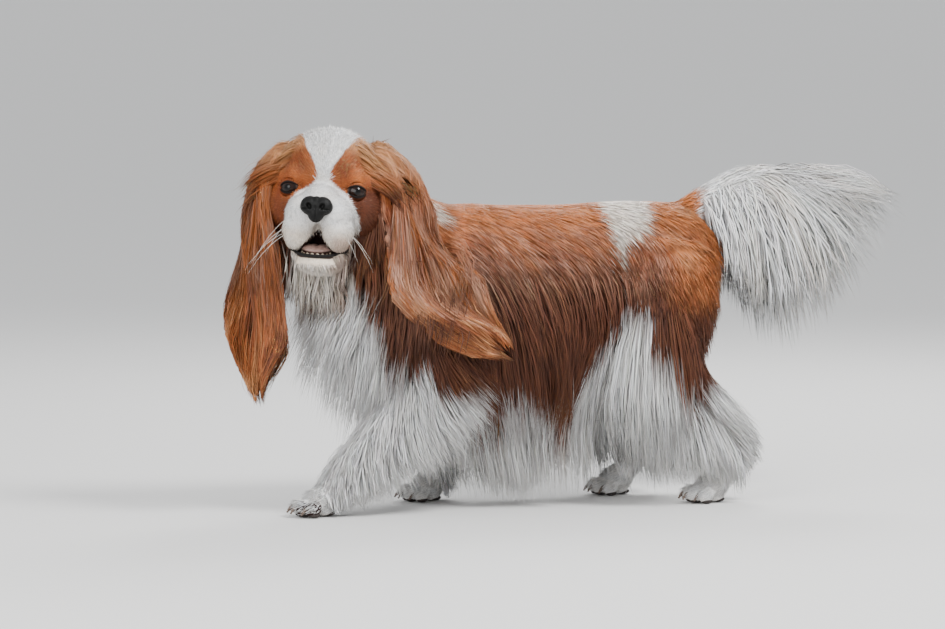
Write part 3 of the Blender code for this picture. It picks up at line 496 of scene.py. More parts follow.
class Tube:
    """A closed form along a line of stations: centre, half width, half depth and outward direction."""

    def __init__(self, label, stations, facings=None, cup=0.0):
        self.label = label
        self.centres = np.array([tuple(s[0]) for s in stations])
        self.wide = np.array([s[1] for s in stations])
        self.deep = np.array([s[2] for s in stations])
        self.cup = cup
        steps = np.gradient(self.centres, axis=0)
        self.pace = np.linalg.norm(steps, axis=1)
        self.along = unit(steps)
        if facings is None:
            self.across = unit(np.array(ACROSS) - self.along * (self.along @ np.array(ACROSS))[:, None])
            self.out = np.cross(self.along, self.across)
        else:
            self.across = unit(np.cross(self.along, np.array([tuple(f) for f in facings])))
            self.out = np.cross(self.across, self.along)

    def at(self, share):
        """Centre, across, out, along, half width and half depth at shares of the length."""
        spot = np.clip(share, 0, 1) * (len(self.centres) - 1)
        low = np.minimum(spot.astype(int), len(self.centres) - 2)
        t = spot - low
        found = []
        for rows in (self.centres, self.across, self.out, self.along, self.wide, self.deep):
            part = t[..., None] if rows.ndim == 2 else t
            found.append(rows[low] * (1 - part) + rows[low + 1] * part)
        return found

    def locate(self, points):
        """Each point's share of the length and turn about the line, both from 0 to 1."""
        near = np.empty(len(points), int)
        for first in range(0, len(points), 20000):
            part = points[first : first + 20000]
            gaps = ((part[:, None] - self.centres[None]) ** 2).sum(-1)
            near[first : first + 20000] = gaps.argmin(1)
        away = points - self.centres[near]
        beyond = (away * self.along[near]).sum(1) / np.maximum(self.pace[near], 1e-6)
        share = near + np.clip(beyond, -0.5, 0.5)
        turn = np.arctan2((away * self.out[near]).sum(1), (away * self.across[near]).sum(1))
        return share / (len(self.centres) - 1), turn / (2 * np.pi) + 0.5

    def bmesh(self, sides):
        """The form as a closed surface."""
        bm = bmesh.new()
        rows = []
        for k in range(len(self.centres)):
            ring = []
            for i in range(sides):
                a = 2 * math.pi * i / sides
                dip = self.cup * self.wide[k] * math.cos(a) ** 2
                point = self.centres[k] + self.across[k] * self.wide[k] * math.cos(a)
                ring.append(bm.verts.new(point + self.out[k] * (self.deep[k] * math.sin(a) - dip)))
            rows.append(ring)
        for lower, upper in zip(rows, rows[1:]):
            for i in range(sides):
                j = (i + 1) % sides
                bm.faces.new((lower[i], lower[j], upper[j], upper[i]))
        bm.faces.new(rows[0][::-1])
        bm.faces.new(rows[-1])
        bmesh.ops.recalc_face_normals(bm, faces=bm.faces)
        return bm


class Ball:
    """Closed ellipsoids that share a middle, for the head and the paws."""

    def __init__(self, label, rows, matrix, inset, mirror, middle):
        self.label = label
        self.matrix = matrix
        self.middle = np.array(middle)
        self.rows = []
        for centre, radii, pair in rows:
            radii = [r - inset for r in radii]
            self.rows.append((centre, radii))
            if pair:
                other = list(centre)
                other[mirror] = -other[mirror]
                self.rows.append((other, radii))

    def locate(self, points):
        """Each point's share of the way from top to bottom and turn about the middle, both from 0 to 1."""
        away = place(points, self.matrix.inverted()) - self.middle
        turn = np.arctan2(away[:, 0], -away[:, 1]) / (2 * np.pi) + 0.5
        high = away[:, 2] / np.maximum(np.linalg.norm(away, axis=1), 1e-6)
        return np.arccos(np.clip(high, -1, 1)) / np.pi, turn

    def bmesh(self, sides):
        """The form as closed surfaces that cross each other."""
        bm = bmesh.new()
        for centre, radii in self.rows:
            spot = self.matrix @ Matrix.Translation(centre) @ Matrix.Diagonal((*radii, 1))
            bmesh.ops.create_uvsphere(bm, u_segments=sides, v_segments=sides // 2, radius=1, matrix=spot)
        return bm


def body_forms():
    """The dog's flesh under its coat, as closed forms that cross each other."""
    d = DEPTH
    forms = [Tube("torso", [
        (Vector((x, 0, (low + high) / 2)), wide - d["torso"], (high - low) / 2 - d["torso"])
        for x, low, high, wide in smooth_stations(TORSO, 6)
    ])]
    forms.append(Tube("neck", [
        (Vector(r[:3]), r[3] - d["neck"], r[4] - d["neck"]) for r in smooth_stations(NECK, 6)
    ]))
    forms.append(Tube("tail", [
        (Vector((r[0], 0, r[1])), r[2] - d["tail"], r[3] - d["tail"]) for r in smooth_stations(TAIL, 8)
    ]))
    for name, side in SIDES.items():
        for limb, table in (("foreleg", FORELEG), ("hindleg", HINDLEG)):
            forms.append(Tube(f"{limb}_{name}", [
                (Vector((r[0], side * r[1], r[2])), r[3] - d["leg"], r[4] - d["leg"])
                for r in smooth_stations(table[name], 8)
            ]))
    forms.append(Ball("head", SKULL, HEAD, d["head"], 0, (0, -0.005, -0.008)))
    for name, (x, y) in PAWS.items():
        spot = Matrix.Translation((x, y, 0))
        forms.append(Ball(name, PAW, spot, d["paw"], 1, (0, 0, 0.012)))
    turn = HEAD.to_3x3()
    for name, side in HEAD_SIDES.items():
        stations, facings = [], []
        for x, y, z, wide, degrees in smooth_stations(EAR[name], 8):
            a = math.radians(degrees)
            stations.append((HEAD @ Vector((side * x, y, z)), wide * 0.86, 0.0026))
            facings.append(turn @ Vector((side * math.cos(a), -math.sin(a), 0)))
        forms.append(Tube(f"ear_{name}", stations, facings, 0.16))
    return forms


def short_ear(form):
    """The part of an ear that is leather, as a form of its own."""
    keep = round(EAR_LEATHER * len(form.centres))
    stations = list(zip(form.centres[:keep], form.wide[:keep], form.deep[:keep]))
    made = Tube(form.label, stations, form.out[:keep], form.cup)
    made.wide[-1] *= 0.5
    return made


def surface_arrays(mesh, labels):
    """A mesh as arrays that hair can grow from, with the label of a form for each vertex."""
    mesh.calc_loop_triangles()
    points = mesh_points(mesh)
    triangles = read_rows(mesh.loop_triangles, "vertices", int)
    corners = points[triangles]
    areas = np.linalg.norm(np.cross(corners[:, 1] - corners[:, 0], corners[:, 2] - corners[:, 0]), axis=1) / 2
    return {"points": points, "normals": read_rows(mesh.vertices, "normal"), "labels": labels,
            "triangles": triangles, "areas": areas, "middles": corners.mean(1)}


def surface_of(obj):
    """A piece of the head as a surface that hair can grow from."""
    return surface_arrays(obj.data, np.full(len(obj.data.vertices), BUILD["names"].index("head")))


def make_skin():
    """One smooth skin from all forms; each vertex is labelled with the form that it lies nearest to."""
    forms = body_forms()
    whole = bmesh.new()
    owners = []
    for k, form in enumerate(forms):
        shape = (short_ear(form) if form.label.startswith("ear") else form).bmesh(32)
        mesh = bpy.data.meshes.new("part")
        shape.to_mesh(mesh)
        shape.free()
        before = len(whole.faces)
        whole.from_mesh(mesh)
        owners += [k] * (len(whole.faces) - before)
        bpy.data.meshes.remove(mesh)
    whole.faces.ensure_lookup_table()
    finder = BVHTree.FromBMesh(whole)
    obj = melted("skin", whole, SKIN_VOXEL, 8)
    open_mouth(obj)
    labels = np.array([owners[finder.find_nearest(point)[2]] for point in mesh_points(obj.data)])
    BUILD.update(forms={form.label: form for form in forms}, names=[form.label for form in forms])
    BUILD.update(surface_arrays(obj.data, labels))
    BUILD["tree"] = BVHTree.FromPolygons(BUILD["points"].tolist(), BUILD["triangles"].tolist())
    return obj


def open_mouth(obj):
    """Cuts the dark wedge under the nose and a socket for each eye."""
    bm = bmesh.new()
    outline = [(0, MOUTH_TOP - 0.0003), (0.03, -0.08), (-0.03, -0.08)]
    front = [bm.verts.new(HEAD @ Vector((x, -0.1, z))) for x, z in outline]
    back = [bm.verts.new(HEAD @ Vector((x * 0.8, -0.03, z))) for x, z in outline]
    bm.faces.new(front)
    bm.faces.new(back[::-1])
    for i in range(3):
        j = (i + 1) % 3
        bm.faces.new((front[i], front[j], back[j], back[i]))
    for side in (1, -1):
        bmesh.ops.create_cone(
            bm, cap_ends=True, segments=32, radius1=0.0098, radius2=0.0112, depth=0.022,
            matrix=eye_spot(side, 0.0135),
        )
    bmesh.ops.recalc_face_normals(bm, faces=bm.faces)
    cutter = from_bmesh("cutter", bm)
    cut = obj.modifiers.new("cut", "BOOLEAN")
    cut.operation = "DIFFERENCE"
    cut.object = cutter
    cut.solver = "EXACT"
    evaluate(obj)
    bpy.data.objects.remove(cutter)


# Colours and markings

def tuft_count(name):
    """The number of tufts of a piece of coat, by the density setting."""
    full = TUFTS[name.removeprefix("coat_")]
    return max(8, int(full * bpy.context.scene.spaniel_sizes.density))


def named(labels):
    """The names of the forms that labels stand for."""
    return np.array(BUILD["names"])[labels]


def markings(points, labels):
    """How white the coat is at each point, from 0 to 1, by the dog's own markings."""
    names = named(labels)
    _, y, z = points.T
    wobble = np.stack([ripple(points, 0.022, 3), ripple(points, 0.022, 4)], 1) * 1.6
    spots = seen(points) + wobble
    white = np.zeros(len(points))
    hx, hy, hz = place(points, HEAD_BACK).T
    wide = np.interp(hz, *zip(*BLAZE))
    low = hz < -0.002
    front = step(-hy, np.where(low, 0.018, -0.035), np.where(low, 0.024, -0.02))
    blaze = step(wide + wobble[:, 0] * 0.0003 - np.abs(hx - 0.001), -0.001, 0.001) * front
    chin = step(-hz, 0.052, 0.056) * step(-hy, -0.004, 0.006) * step(0.032 - np.abs(hx), -0.001, 0.001)
    bib, lower, loin = inside(spots, BIB), inside(spots, LOWER), inside(spots, LOIN)
    bib = bib * (1 - step(y, 0.012, 0.018) * step(z, 0.205, 0.215))
    stripe = inside(spots, STRIPE) * (y < -0.02)
    far_lower = inside(spots + np.array([42, 0]), LOWER)
    foot = step(0.06 - z, -0.003, 0.003)
    for mine, parts in (
        (names == "head", (blaze, chin)),
        ((names == "torso") | (names == "neck"), (bib, lower, loin, stripe)),
        (np.char.startswith(names, "foreleg"), (bib, lower, step(0.115 - z, -0.003, 0.003))),
        (names == "hindleg_left", (lower, loin, foot)),
        (names == "hindleg_right", (far_lower, foot)),
        (names == "tail", (step(spots[:, 0], 188, 194),)),
    ):
        white[mine] = np.maximum.reduce(parts)[mine]
    white[np.char.find(names, "paw") >= 0] = 1
    return np.clip(white, 0, 1)


def blend_to(colours, other, share):
    """Colours moved towards another one by a share for each point."""
    share = np.clip(share, 0, 1)[:, None]
    return colours * (1 - share) + other * share


def coat_shade(points, labels, tint, draw=None):
    """The coat's colour at each point: markings, then darker and paler parts, many of them painted light and
    shade, then a spread between tufts.
    """
    names = named(labels)
    count = len(points)
    white = markings(points, labels)[:, None]
    streak = ripple(points * np.array([1, 1, 0.35]), 0.016, 11)
    cloud = ripple(points, 0.045, 7)
    blend = 0.45 + 0.28 * cloud + 0.22 * streak
    if draw is not None:
        blend = blend + draw.normal(0, 0.16, count)
    across, up = seen(points).T
    hx, _, hz = place(points, HEAD_BACK).T
    ear = np.char.startswith(names, "ear")
    head = names == "head"
    body = (~ear & ~head).astype(float)
    rump = body * step(across, 140, 175) * step(up, 185, 235)
    sunny = body * (1 - rump) * 0.44 * step(up, 205, 250) * step(305 - up, 0, 30)
    left_cheek = 0.9 * step(-hz, -0.012, 0.004) * step(hx, 0.022, 0.034)
    cheek = np.where(hx > 0, left_cheek, 0.45 * step(-hz, 0.0, 0.016))
    brow = np.hypot(np.abs(hx) - 0.02, hz - 0.02)
    ear_sheen = ear * 0.75 * step(-hz, -0.005, 0.03) * step(hz + 0.15, 0, 0.05)
    ear_streak = step(streak + 0.35 * (hx > 0), 0.0, 0.7)
    red = blend_to(tint["mid"], tint["lit"], blend)
    for name, share in (
        # The lower flank is darker, painted shade along with the coat's own darker tone, and the back and
        # rump get painted light
        ("dark", body * (1 - 0.7 * rump) * 0.92 * step(282 - up, 0, 72)),
        ("lit", body * 0.65 * step(up, 272, 303) + rump * 0.5),
        # A painted sheen on the upper flank
        ("sheen", sunny * step(0.5 + 0.5 * streak, 0.15, 1.0) * step(across, -90, -40)),
        ("mid", body * 0.6 * step(130 - up, 0, 50) * step(streak, -0.2, 0.6)),
        # Painted highlights along the top of the back and on the rump
        ("pale", body * 0.25 * step(streak, 0.4, 1.0) * step(up, 285, 312) + rump * 0.25 * step(cloud, 0, 1)),
        # The cheeks and the spots over the eyes are darker, and the head's lower sides darker still as
        # painted shade
        ("dark", head * np.maximum(cheek, 0.9 * step(-hz, 0.026, 0.04))),
        ("dark", head * 0.35 * step(0.012 - brow, 0, 0.01)),
        # The brow and crown beside the blaze are paler, painted light from above
        ("pale", head * 0.7 * step(brow, 0.014, 0.026) * step(hz, 0.008, 0.034)),
        # The ears get painted light above, painted highlights at their ends, a painted sheen at half height
        # and painted shade between their locks
        ("pale", ear * step(hz, 0.000, 0.034) * (0.4 + 0.3 * step(streak, -0.3, 0.6))),
        ("sheen", ear_sheen * ear_streak),
        ("pale", ear * 0.45 * step(-hz, 0.08, 0.14) * step(cloud + streak, 0.2, 1.0)),
        ("dark", ear * 0.65 * step(-cloud - streak, 0.3, 1.2) * step(-hz, -0.01, 0.05)),
    ):
        red = blend_to(red, tint[name], share)
    cream = 0.75 * step(up, 195, 245) * (~head & (names != "tail"))
    cream = cream + 0.22 * (0.5 + 0.5 * ripple(points, 0.02, 9))
    cream = cream + 0.7 * head * step(-hz, 0.03, 0.048)
    cream = cream + 0.45 * (names == "tail") * step(cloud, 0.1, 0.9) * step(across, 225, 260)
    snow = blend_to(tint["white"], tint["cream"], np.clip(cream, 0, 0.9))
    snow = blend_to(snow, tint["sheen"], 0.55 * head * step(hx, 0.01, 0.022) * step(-hz, 0.042, 0.052))
    # A small chestnut spot at the front of the near foreleg's wrist
    wrist_spot = step(15 - np.hypot((across + 186) * 0.9, up - 90), 0, 7) * np.char.startswith(names, "foreleg")
    snow = blend_to(snow, tint["lit"], 0.55 * wrist_spot)
    if draw is not None:
        snow = snow * draw.uniform(0.96, 1.0, count)[:, None]
        red = red * draw.uniform(0.88, 1.1, count)[:, None]
    return red * (1 - white) + snow * white


def path_shade(paths, owners, tint, draw, tip):
    """Colours along each tuft: those of the coat at each ring's own place, a little darker at the root."""
    count, rings = paths.shape[:2]
    spots = (paths + draw.normal(0, 0.0018, (count, 1, 3))).reshape(-1, 3)
    shade = coat_shade(spots, np.repeat(owners, rings), tint)
    tone = draw.uniform(0.9, 1.08, (count, 1, 1)) * (1 + draw.normal(0, 0.02, (count, 1, 3)))
    level = np.linspace(ROOT_TONE, tip, rings)[None, :, None]
    return np.clip(shade.reshape(count, rings, 3) * tone * level, 0, 0.96)


# Growing hair

def sample(chance, count, draw, surface=None):
    """Roots spread over a surface by chance: points, normals and labels."""
    surface = surface or BUILD
    weight = surface["areas"] * chance
    edges = np.cumsum(weight)
    picks = np.searchsorted(edges, (np.arange(count) + draw.random(count)) / count * edges[-1])
    picks = draw.permutation(np.minimum(picks, len(weight) - 1))
    corners = surface["triangles"][picks]
    a, b = draw.random(count), draw.random(count)
    flip = a + b > 1
    a[flip], b[flip] = 1 - a[flip], 1 - b[flip]
    share = np.stack([1 - a - b, a, b], 1)[..., None]
    points = (surface["points"][corners] * share).sum(1)
    normals = unit((surface["normals"][corners] * share).sum(1))
    return points, normals, surface["labels"][corners[:, 0]]


FLOW = [
    (-84, 302, 1, -0.25), (-21, 313, 1, -0.2), (42, 313, 1, -0.15), (105, 313, 1, -0.3), (158, 318, 1, -0.3),
    (189, 302, 0.8, -0.9), (-42, 266, 0.6, -0.9), (21, 266, 0.7, -0.8), (84, 266, 0.5, -1),
    (126, 276, 0.35, -1),
    (189, 245, 0.4, -1), (-52, 213, 0.15, -1), (10, 213, 0.15, -1), (63, 213, 0, -1), (105, 213, -0.4, -1),
    (147, 213, -0.05, -1), (189, 192, 0.15, -1), (-63, 140, 0.1, -1), (0, 140, 0, -1), (52, 150, -0.45, -1),
    (84, 171, -0.6, -1), (126, 150, 0, -1), (168, 140, 0.15, -1), (200, 129, 0.2, -1), (-42, 77, 0.1, -1),
    (21, 77, 0.25, -1), (74, 87, 0.35, -1), (105, 87, 0.4, -1), (136, 56, 0.3, -1), (189, 77, 0.35, -1),
]


def flow_at(points):
    """The flow of the side's hair at points, as directions."""
    table = np.array(FLOW)
    spots = seen(points)
    gaps = ((spots[:, None] - table[None, :, :2]) ** 2).sum(-1)
    share = 1 / (gaps + 300) ** 1.6
    way = (share[..., None] * table[None, :, 2:]).sum(1) / share.sum(1)[:, None]
    return unit(np.stack([way[:, 0], 0 * way[:, 0], way[:, 1]], 1))


def tangent(lie, normals):
    """The lie of the hair, flat on the skin."""
    return unit(lie - normals * (lie * normals).sum(1)[:, None])


def run_of(label, points):
    """The direction of a form's line beside each point."""
    form = BUILD["forms"][label]
    return form.at(form.locate(points)[0])[3]


def lie_of_body(points, normals, labels):
    """The lie of the body's coat: back along the spine, then down the flank, thigh and breast."""
    names = named(labels)
    x, y, z = points.T
    lie = flow_at(points)
    lie[:, 1] += np.sign(y) * 0.45 * (step(z, 0.27, 0.305) * step(np.abs(y), 0.0, 0.03))
    breast = (step(-x, 0.14, 0.17) * (names == "torso"))[:, None]
    lie = lie * (1 - breast) + np.array([0.2, 0.0, -1.0]) * breast
    rump = step(x, 0.165, 0.19)[:, None]
    lie = lie * (1 - rump) + np.array([0.25, 0.0, -1.0]) * rump
    neck = names == "neck"
    if neck.any():
        lie[neck] = np.array([0.25, 0, -0.55]) - run_of("neck", points[neck])
    for name in BUILD["names"]:
        mine = names == name
        if name.startswith(("foreleg", "hindleg")) and mine.any():
            along = run_of(name, points[mine]) + np.array([0.3, 0, -0.1])
            high = step(points[mine][:, 2], 0.1, 0.15)[:, None] * name.startswith("hindleg")
            lie[mine] = along * (1 - high) + lie[mine] * high
    swirl = ripple(points, 0.06, 21)[:, None] * 0.16
    return tangent(lie + np.cross(normals, lie) * swirl, normals)


def bend_paths(roots, first, last, lengths, steps):
    """Paths of equal steps that turn from one direction to another."""
    paths = [roots]
    for k in range(steps):
        t = (k + 0.5) / steps
        paths.append(paths[-1] + unit(first * (1 - t) + last * t) * (lengths / steps)[:, None])
    return np.stack(paths, 1)


def gather(paths, roots, every, strength, draw, loose):
    """Draws the hairs together into locks: each one's tip goes near the tip of the closest leader."""
    count, steps = paths.shape[:2]
    leaders = np.arange(0, count, every)
    finder = KDTree(len(leaders))
    for index, leader in enumerate(leaders):
        finder.insert(roots[leader], index)
    finder.balance()
    near = leaders[[finder.find(root)[1] for root in roots]]
    share = (np.linspace(0, 1, steps) ** 1.3)[None, :, None] * strength
    share = share * np.clip(draw.normal(1, 0.25, count), 0, 1.15)[:, None, None]
    shift = (roots - roots[near]) * loose
    return paths * (1 - share) + (paths[near] + shift[:, None]) * share


def wave(paths, size, turns, draw, group=1):
    """A slight curl that grows towards the tips, alike for neighbours in a group."""
    count, steps = paths.shape[:2]
    groups = (count + group - 1) // group
    phase = np.repeat(draw.uniform(0, FULL_PHASE, groups), group)[:count]
    axis = unit(np.repeat(draw.normal(size=(groups, 3)), group, axis=0)[:count])
    t = np.linspace(0, 1, steps)[None]
    amount = np.sin(phase[:, None] + t * turns * 2 * np.pi) * t * size
    return paths + axis[:, None] * amount[..., None]


def keep_out(paths, gap):
    """Moves points that went under the skin back over it, and keeps all off the floor."""
    tree = BUILD["tree"]
    for k in range(1, paths.shape[1]):
        for index, point in enumerate(paths[:, k]):
            spot, normal, _, _ = tree.find_nearest(point, 0.02)
            if spot is None:
                continue
            depth = (Vector(point) - spot).dot(normal)
            if depth < gap:
                paths[index, k] = point + np.array(normal) * (gap - depth)
    paths[:, 1:, 2] = np.maximum(paths[:, 1:, 2], FLOOR_GAP)
    return paths


def bake_places(points, labels, used):
    """Each root's place on the unwrap: a cell for each form, by its share of the length and turn about it."""
    side = math.ceil(math.sqrt(len(used)))
    spots = np.full((len(points), 2), 0.5)
    for index, label in enumerate(used):
        mine = labels == BUILD["names"].index(label)
        if not mine.any():
            continue
        share, turn = BUILD["forms"][label].locate(points[mine])
        cell = np.array([index % side, index // side])
        local = np.stack([turn, np.clip(share, 0, 1)], 1) * 0.96 + 0.02
        spots[mine] = (cell + local) / side
    return spots


def used_labels(*labels):
    """The labels of forms that start so."""
    return [name for name in BUILD["names"] if name.startswith(labels)]


def label_chance(*labels):
    """One where a triangle belongs to any form whose label starts so, and zero elsewhere."""
    good = np.array([name.startswith(labels) for name in BUILD["names"]])
    return good[BUILD["labels"][BUILD["triangles"][:, 0]]].astype(float)


def weave(name, paths, facing, lay, widths, colours, spots):
    """Closed, three-sided tapered tufts along the paths, as one mesh, with a colour for each ring."""
    count, steps = paths.shape[0], paths.shape[1] - 1
    ahead = np.concatenate([paths[:, 1:], paths[:, -1:]], 1)
    behind = np.concatenate([paths[:, :1], paths[:, :-1]], 1)
    along = unit(ahead - behind)[:, :steps]
    across = unit(np.cross(along, facing[:, None]))
    up = np.cross(across, along)
    t = np.linspace(0, 1, steps + 1)[:steps]
    wide = (widths[:, None] * np.interp(t, *zip(*TAPER))[None])[..., None]
    middle = paths[:, :steps]
    corners = [middle + across * wide / 2, middle - across * wide / 2, middle + up * wide * TUFT_RISE]
    verts = np.concatenate([np.stack(corners, 2).reshape(count, steps * 3, 3), paths[:, -1:]], 1)
    faces = []
    for k in range(0, steps * 3 - 3, 3):
        for i in range(3):
            j = (i + 1) % 3
            faces += [(k + i, k + j, k + 3 + j), (k + i, k + 3 + j, k + 3 + i)]
    tip = steps * 3
    faces += [(tip - 3, tip - 2, tip), (tip - 2, tip - 1, tip), (tip - 1, tip - 3, tip), (0, 2, 1)]
    number, size = np.arange(count), tip + 1
    every = (np.array(faces)[None] + (number * size)[:, None, None]).reshape(-1)
    shares = np.concatenate([np.repeat(t, 3), [1.0]])
    sides = np.array([-0.5, 0.5, 0.0] * steps + [0.0])
    shade = np.concatenate([np.repeat(colours[:, :steps], 3, axis=1), colours[:, -1:]], 1)
    patch = spots[:, None] + np.stack([sides * 0.8, shares - 0.5], 1)[None] * PATCH
    # Where each point lies among the streaks that the material draws along a tuft
    reach = np.linalg.norm(np.diff(paths, axis=1), axis=2).sum(1)
    streaks = np.clip(widths / STREAK_WIDTH, 1.5, 12)[:, None]
    strand = np.empty((count, size, 3))
    strand[..., 0] = sides[None] * streaks + (number * 17.31 % 997)[:, None]
    strand[..., 1] = shares[None] * (reach / STREAK_LENGTH)[:, None]
    strand[..., 2] = (number * 0.618 % 1)[:, None] * 50
    return write_mesh(name, verts.reshape(-1, 3), every, shade.reshape(-1, 3), np.tile(shares, count),
                      patch.reshape(-1, 2)[every], strand.reshape(-1, 3), np.repeat(lay, size, axis=0))


def write_mesh(name, verts, corners, colours, shares, uvs, strand, lay):
    """A mesh of triangles with the layers that the hair material reads."""
    mesh = bpy.data.meshes.new(name)
    mesh.vertices.add(len(verts))
    mesh.vertices.foreach_set("co", verts.ravel())
    mesh.loops.add(len(corners))
    mesh.loops.foreach_set("vertex_index", corners.astype(np.int32))
    mesh.polygons.add(len(corners) // 3)
    mesh.polygons.foreach_set("loop_start", np.arange(0, len(corners), 3, dtype=np.int32))
    mesh.update(calc_edges=True)
    add_colours(mesh, colours, shares)
    write_layer(mesh, "strand", "FLOAT_VECTOR", strand)
    write_layer(mesh, "lay", "FLOAT_VECTOR", lay)
    write_unwrap(mesh, uvs)
    return link(name, mesh)


def add_colours(mesh, colours, shares):
    """The coat's colour and each point's share of the way to its tuft's tip."""
    paint_points(mesh, colours)
    write_layer(mesh, "along", "FLOAT", shares)


def facing_of(normals, draw, spread):
    return unit(normals + draw.normal(0, spread, normals.shape))


def spread_widths(width, count, draw):
    """Widths of tufts: most near the given one, and many much finer that lie between them."""
    fine = draw.random(count) < FINE_SHARE
    return width * np.where(fine, draw.uniform(0.22, 0.45, count), draw.uniform(0.75, 1.25, count)), fine


def grow(name, chance, lengths, width, steps, seed, tint, labels, lift=0.2, drop=0.35, every=7,
         strength=0.45, curl=0.002, gap=0.0012, lie=lie_of_body, last=None, cluster=0.18, tip=1.0,
         surface=None, lay=None):
    """One piece of coat that grows from the skin; each ring of a tuft has the colour of its own place."""
    draw = np.random.default_rng(seed)
    count = tuft_count(name)
    roots, normals, owners = sample(chance, count, draw, surface)
    lie = lie(roots, normals, owners)
    wide, fine = spread_widths(width, count, draw)
    lifts = lift(roots) if callable(lift) else np.full(count, lift)
    first = unit(lie + normals * (lifts * (1 + 0.5 * fine))[:, None] + draw.normal(0, 0.06, roots.shape))
    end = unit(lie + np.array([0.05, 0, -drop])) if last is None else unit(last(roots, normals, lie))
    end = unit(end + draw.normal(0, 0.055, roots.shape) * (1 + fine)[:, None])
    reach = lengths(roots, normals, owners) * draw.uniform(0.78, 1.1, count) * (1 + 0.1 * fine)
    paths = bend_paths(roots - normals * ROOT_DEPTH, first, end, reach, steps)
    paths = wave(paths, curl, 0.9, draw, 1)
    paths = gather(paths, roots, every, strength, draw, cluster)
    if surface is None:
        paths = keep_out(paths, gap)
    shade = path_shade(paths, owners, tint, draw, tip)
    spots = bake_places(roots, owners, used_labels(*labels))
    lay = normals if lay is None else lay(roots, normals)
    return weave(name, paths, facing_of(normals, draw, 0.25), lay, wide, shade, spots)


# Materials

def add_node(tree, kind, links=(), **settings):
    """A node with its links; a setting is one of the node's own, or named for the input that it fills."""
    node = tree.nodes.new(kind)
    for key, value in settings.items():
        if hasattr(node, key) and key not in node.inputs:
            setattr(node, key, value)
        else:
            node.inputs[key.replace("_", " ")].default_value = value
    for socket, target in links:
        tree.links.new(socket, node.inputs[target])
    return node


def new_material(name, roughness, ior=1.5, **more):
    """A material with a shader that has the finish's typical roughness and IOR."""
    material = bpy.data.materials.new(name)
    material.use_nodes = True
    tree = material.node_tree
    shader = tree.nodes["Principled BSDF"]
    shader.inputs["Roughness"].default_value = roughness
    shader.inputs["IOR"].default_value = ior
    for key, value in more.items():
        shader.inputs[key.replace("_", " ")].default_value = value
    return material, tree, shader


def plain_material(name, code, roughness, ior):
    """A finish of one colour."""
    return new_material(name, roughness, ior, Base_Color=(*hex_colour(code), 1))[0]


def shade_layer(tree, shader, layer, noise, low, high):
    """Colours a shader from a piece's colour layer, darker and paler by a noise."""
    colour = add_node(tree, "ShaderNodeAttribute", attribute_name=layer)
    tone = add_node(tree, "ShaderNodeMapRange", [(noise.outputs["Fac"], "Value")],
                    From_Min=0.3, From_Max=0.7, To_Min=low, To_Max=high)
    made = add_node(
        tree, "ShaderNodeVectorMath", [(colour.outputs["Color"], 0), (tone.outputs["Result"], "Scale")],
        operation="SCALE",
    )
    tree.links.new(made.outputs["Vector"], shader.inputs["Base Color"])


def hair_material():
    """Keratin: soft gloss, light passing through, and streaks along each tuft about 0.4 mm apart."""
    material, tree, shader = new_material(
        "hair_keratin", 0.55, 1.55, Subsurface_Weight=0.3, Subsurface_Scale=0.003,
        Subsurface_Radius=(1.0, 0.85, 0.7), Specular_IOR_Level=0.22,
    )
    colour, along, strand, lay = (
        add_node(tree, "ShaderNodeAttribute", attribute_name=layer)
        for layer in ("hair", "along", "strand", "lay")
    )
    streak = add_node(tree, "ShaderNodeTexNoise", [(strand.outputs["Vector"], "Vector")],
                      Scale=1.0, Detail=2.0)
    tone = add_node(tree, "ShaderNodeMapRange", [(streak.outputs["Fac"], "Value")],
                    From_Min=0.3, From_Max=0.7, To_Min=0.84, To_Max=1.1)
    root = add_node(tree, "ShaderNodeMapRange", [(along.outputs["Fac"], "Value")],
                    From_Min=0.0, From_Max=0.4, To_Min=0.96, To_Max=1.0)
    level = add_node(tree, "ShaderNodeMath", [(tone.outputs["Result"], 0), (root.outputs["Result"], 1)],
                     operation="MULTIPLY")
    made = add_node(
        tree, "ShaderNodeVectorMath", [(colour.outputs["Color"], 0), (level.outputs["Value"], "Scale")],
        operation="SCALE",
    )
    tree.links.new(made.outputs["Vector"], shader.inputs["Base Color"])
    # The shading follows the coat's surface more than each tuft's own sides, as soft hair does
    shape = add_node(tree, "ShaderNodeNewGeometry")
    own = add_node(tree, "ShaderNodeVectorMath", [(shape.outputs["Normal"], 0)],
                   operation="SCALE", Scale=0.28)
    both = add_node(tree, "ShaderNodeVectorMath", [(own.outputs["Vector"], 0), (lay.outputs["Vector"], 1)],
                    operation="ADD")
    even = add_node(tree, "ShaderNodeVectorMath", [(both.outputs["Vector"], 0)], operation="NORMALIZE")
    bump = add_node(
        tree, "ShaderNodeBump", [(streak.outputs["Fac"], "Height"), (even.outputs["Vector"], "Normal")],
        Strength=0.25, Distance=0.0003,
    )
    tree.links.new(bump.outputs["Normal"], shader.inputs["Normal"])
    return material


def skin_material():
    """Skin under a flat short coat: the coat's colours, with hairs about 0.6 mm apart as bump."""
    material, tree, shader = new_material("short_coat_skin", 0.7, 1.5, Specular_IOR_Level=0.2)
    spot = add_node(tree, "ShaderNodeTexCoord")
    nap = add_node(tree, "ShaderNodeTexNoise", [(spot.outputs["Object"], "Vector")], Scale=700.0, Detail=3.0)
    shade_layer(tree, shader, "hair", nap, 0.55, 0.85)
    bump = add_node(tree, "ShaderNodeBump", [(nap.outputs["Fac"], "Height")], Strength=0.5, Distance=0.0006)
    tree.links.new(bump.outputs["Normal"], shader.inputs["Normal"])
    return material


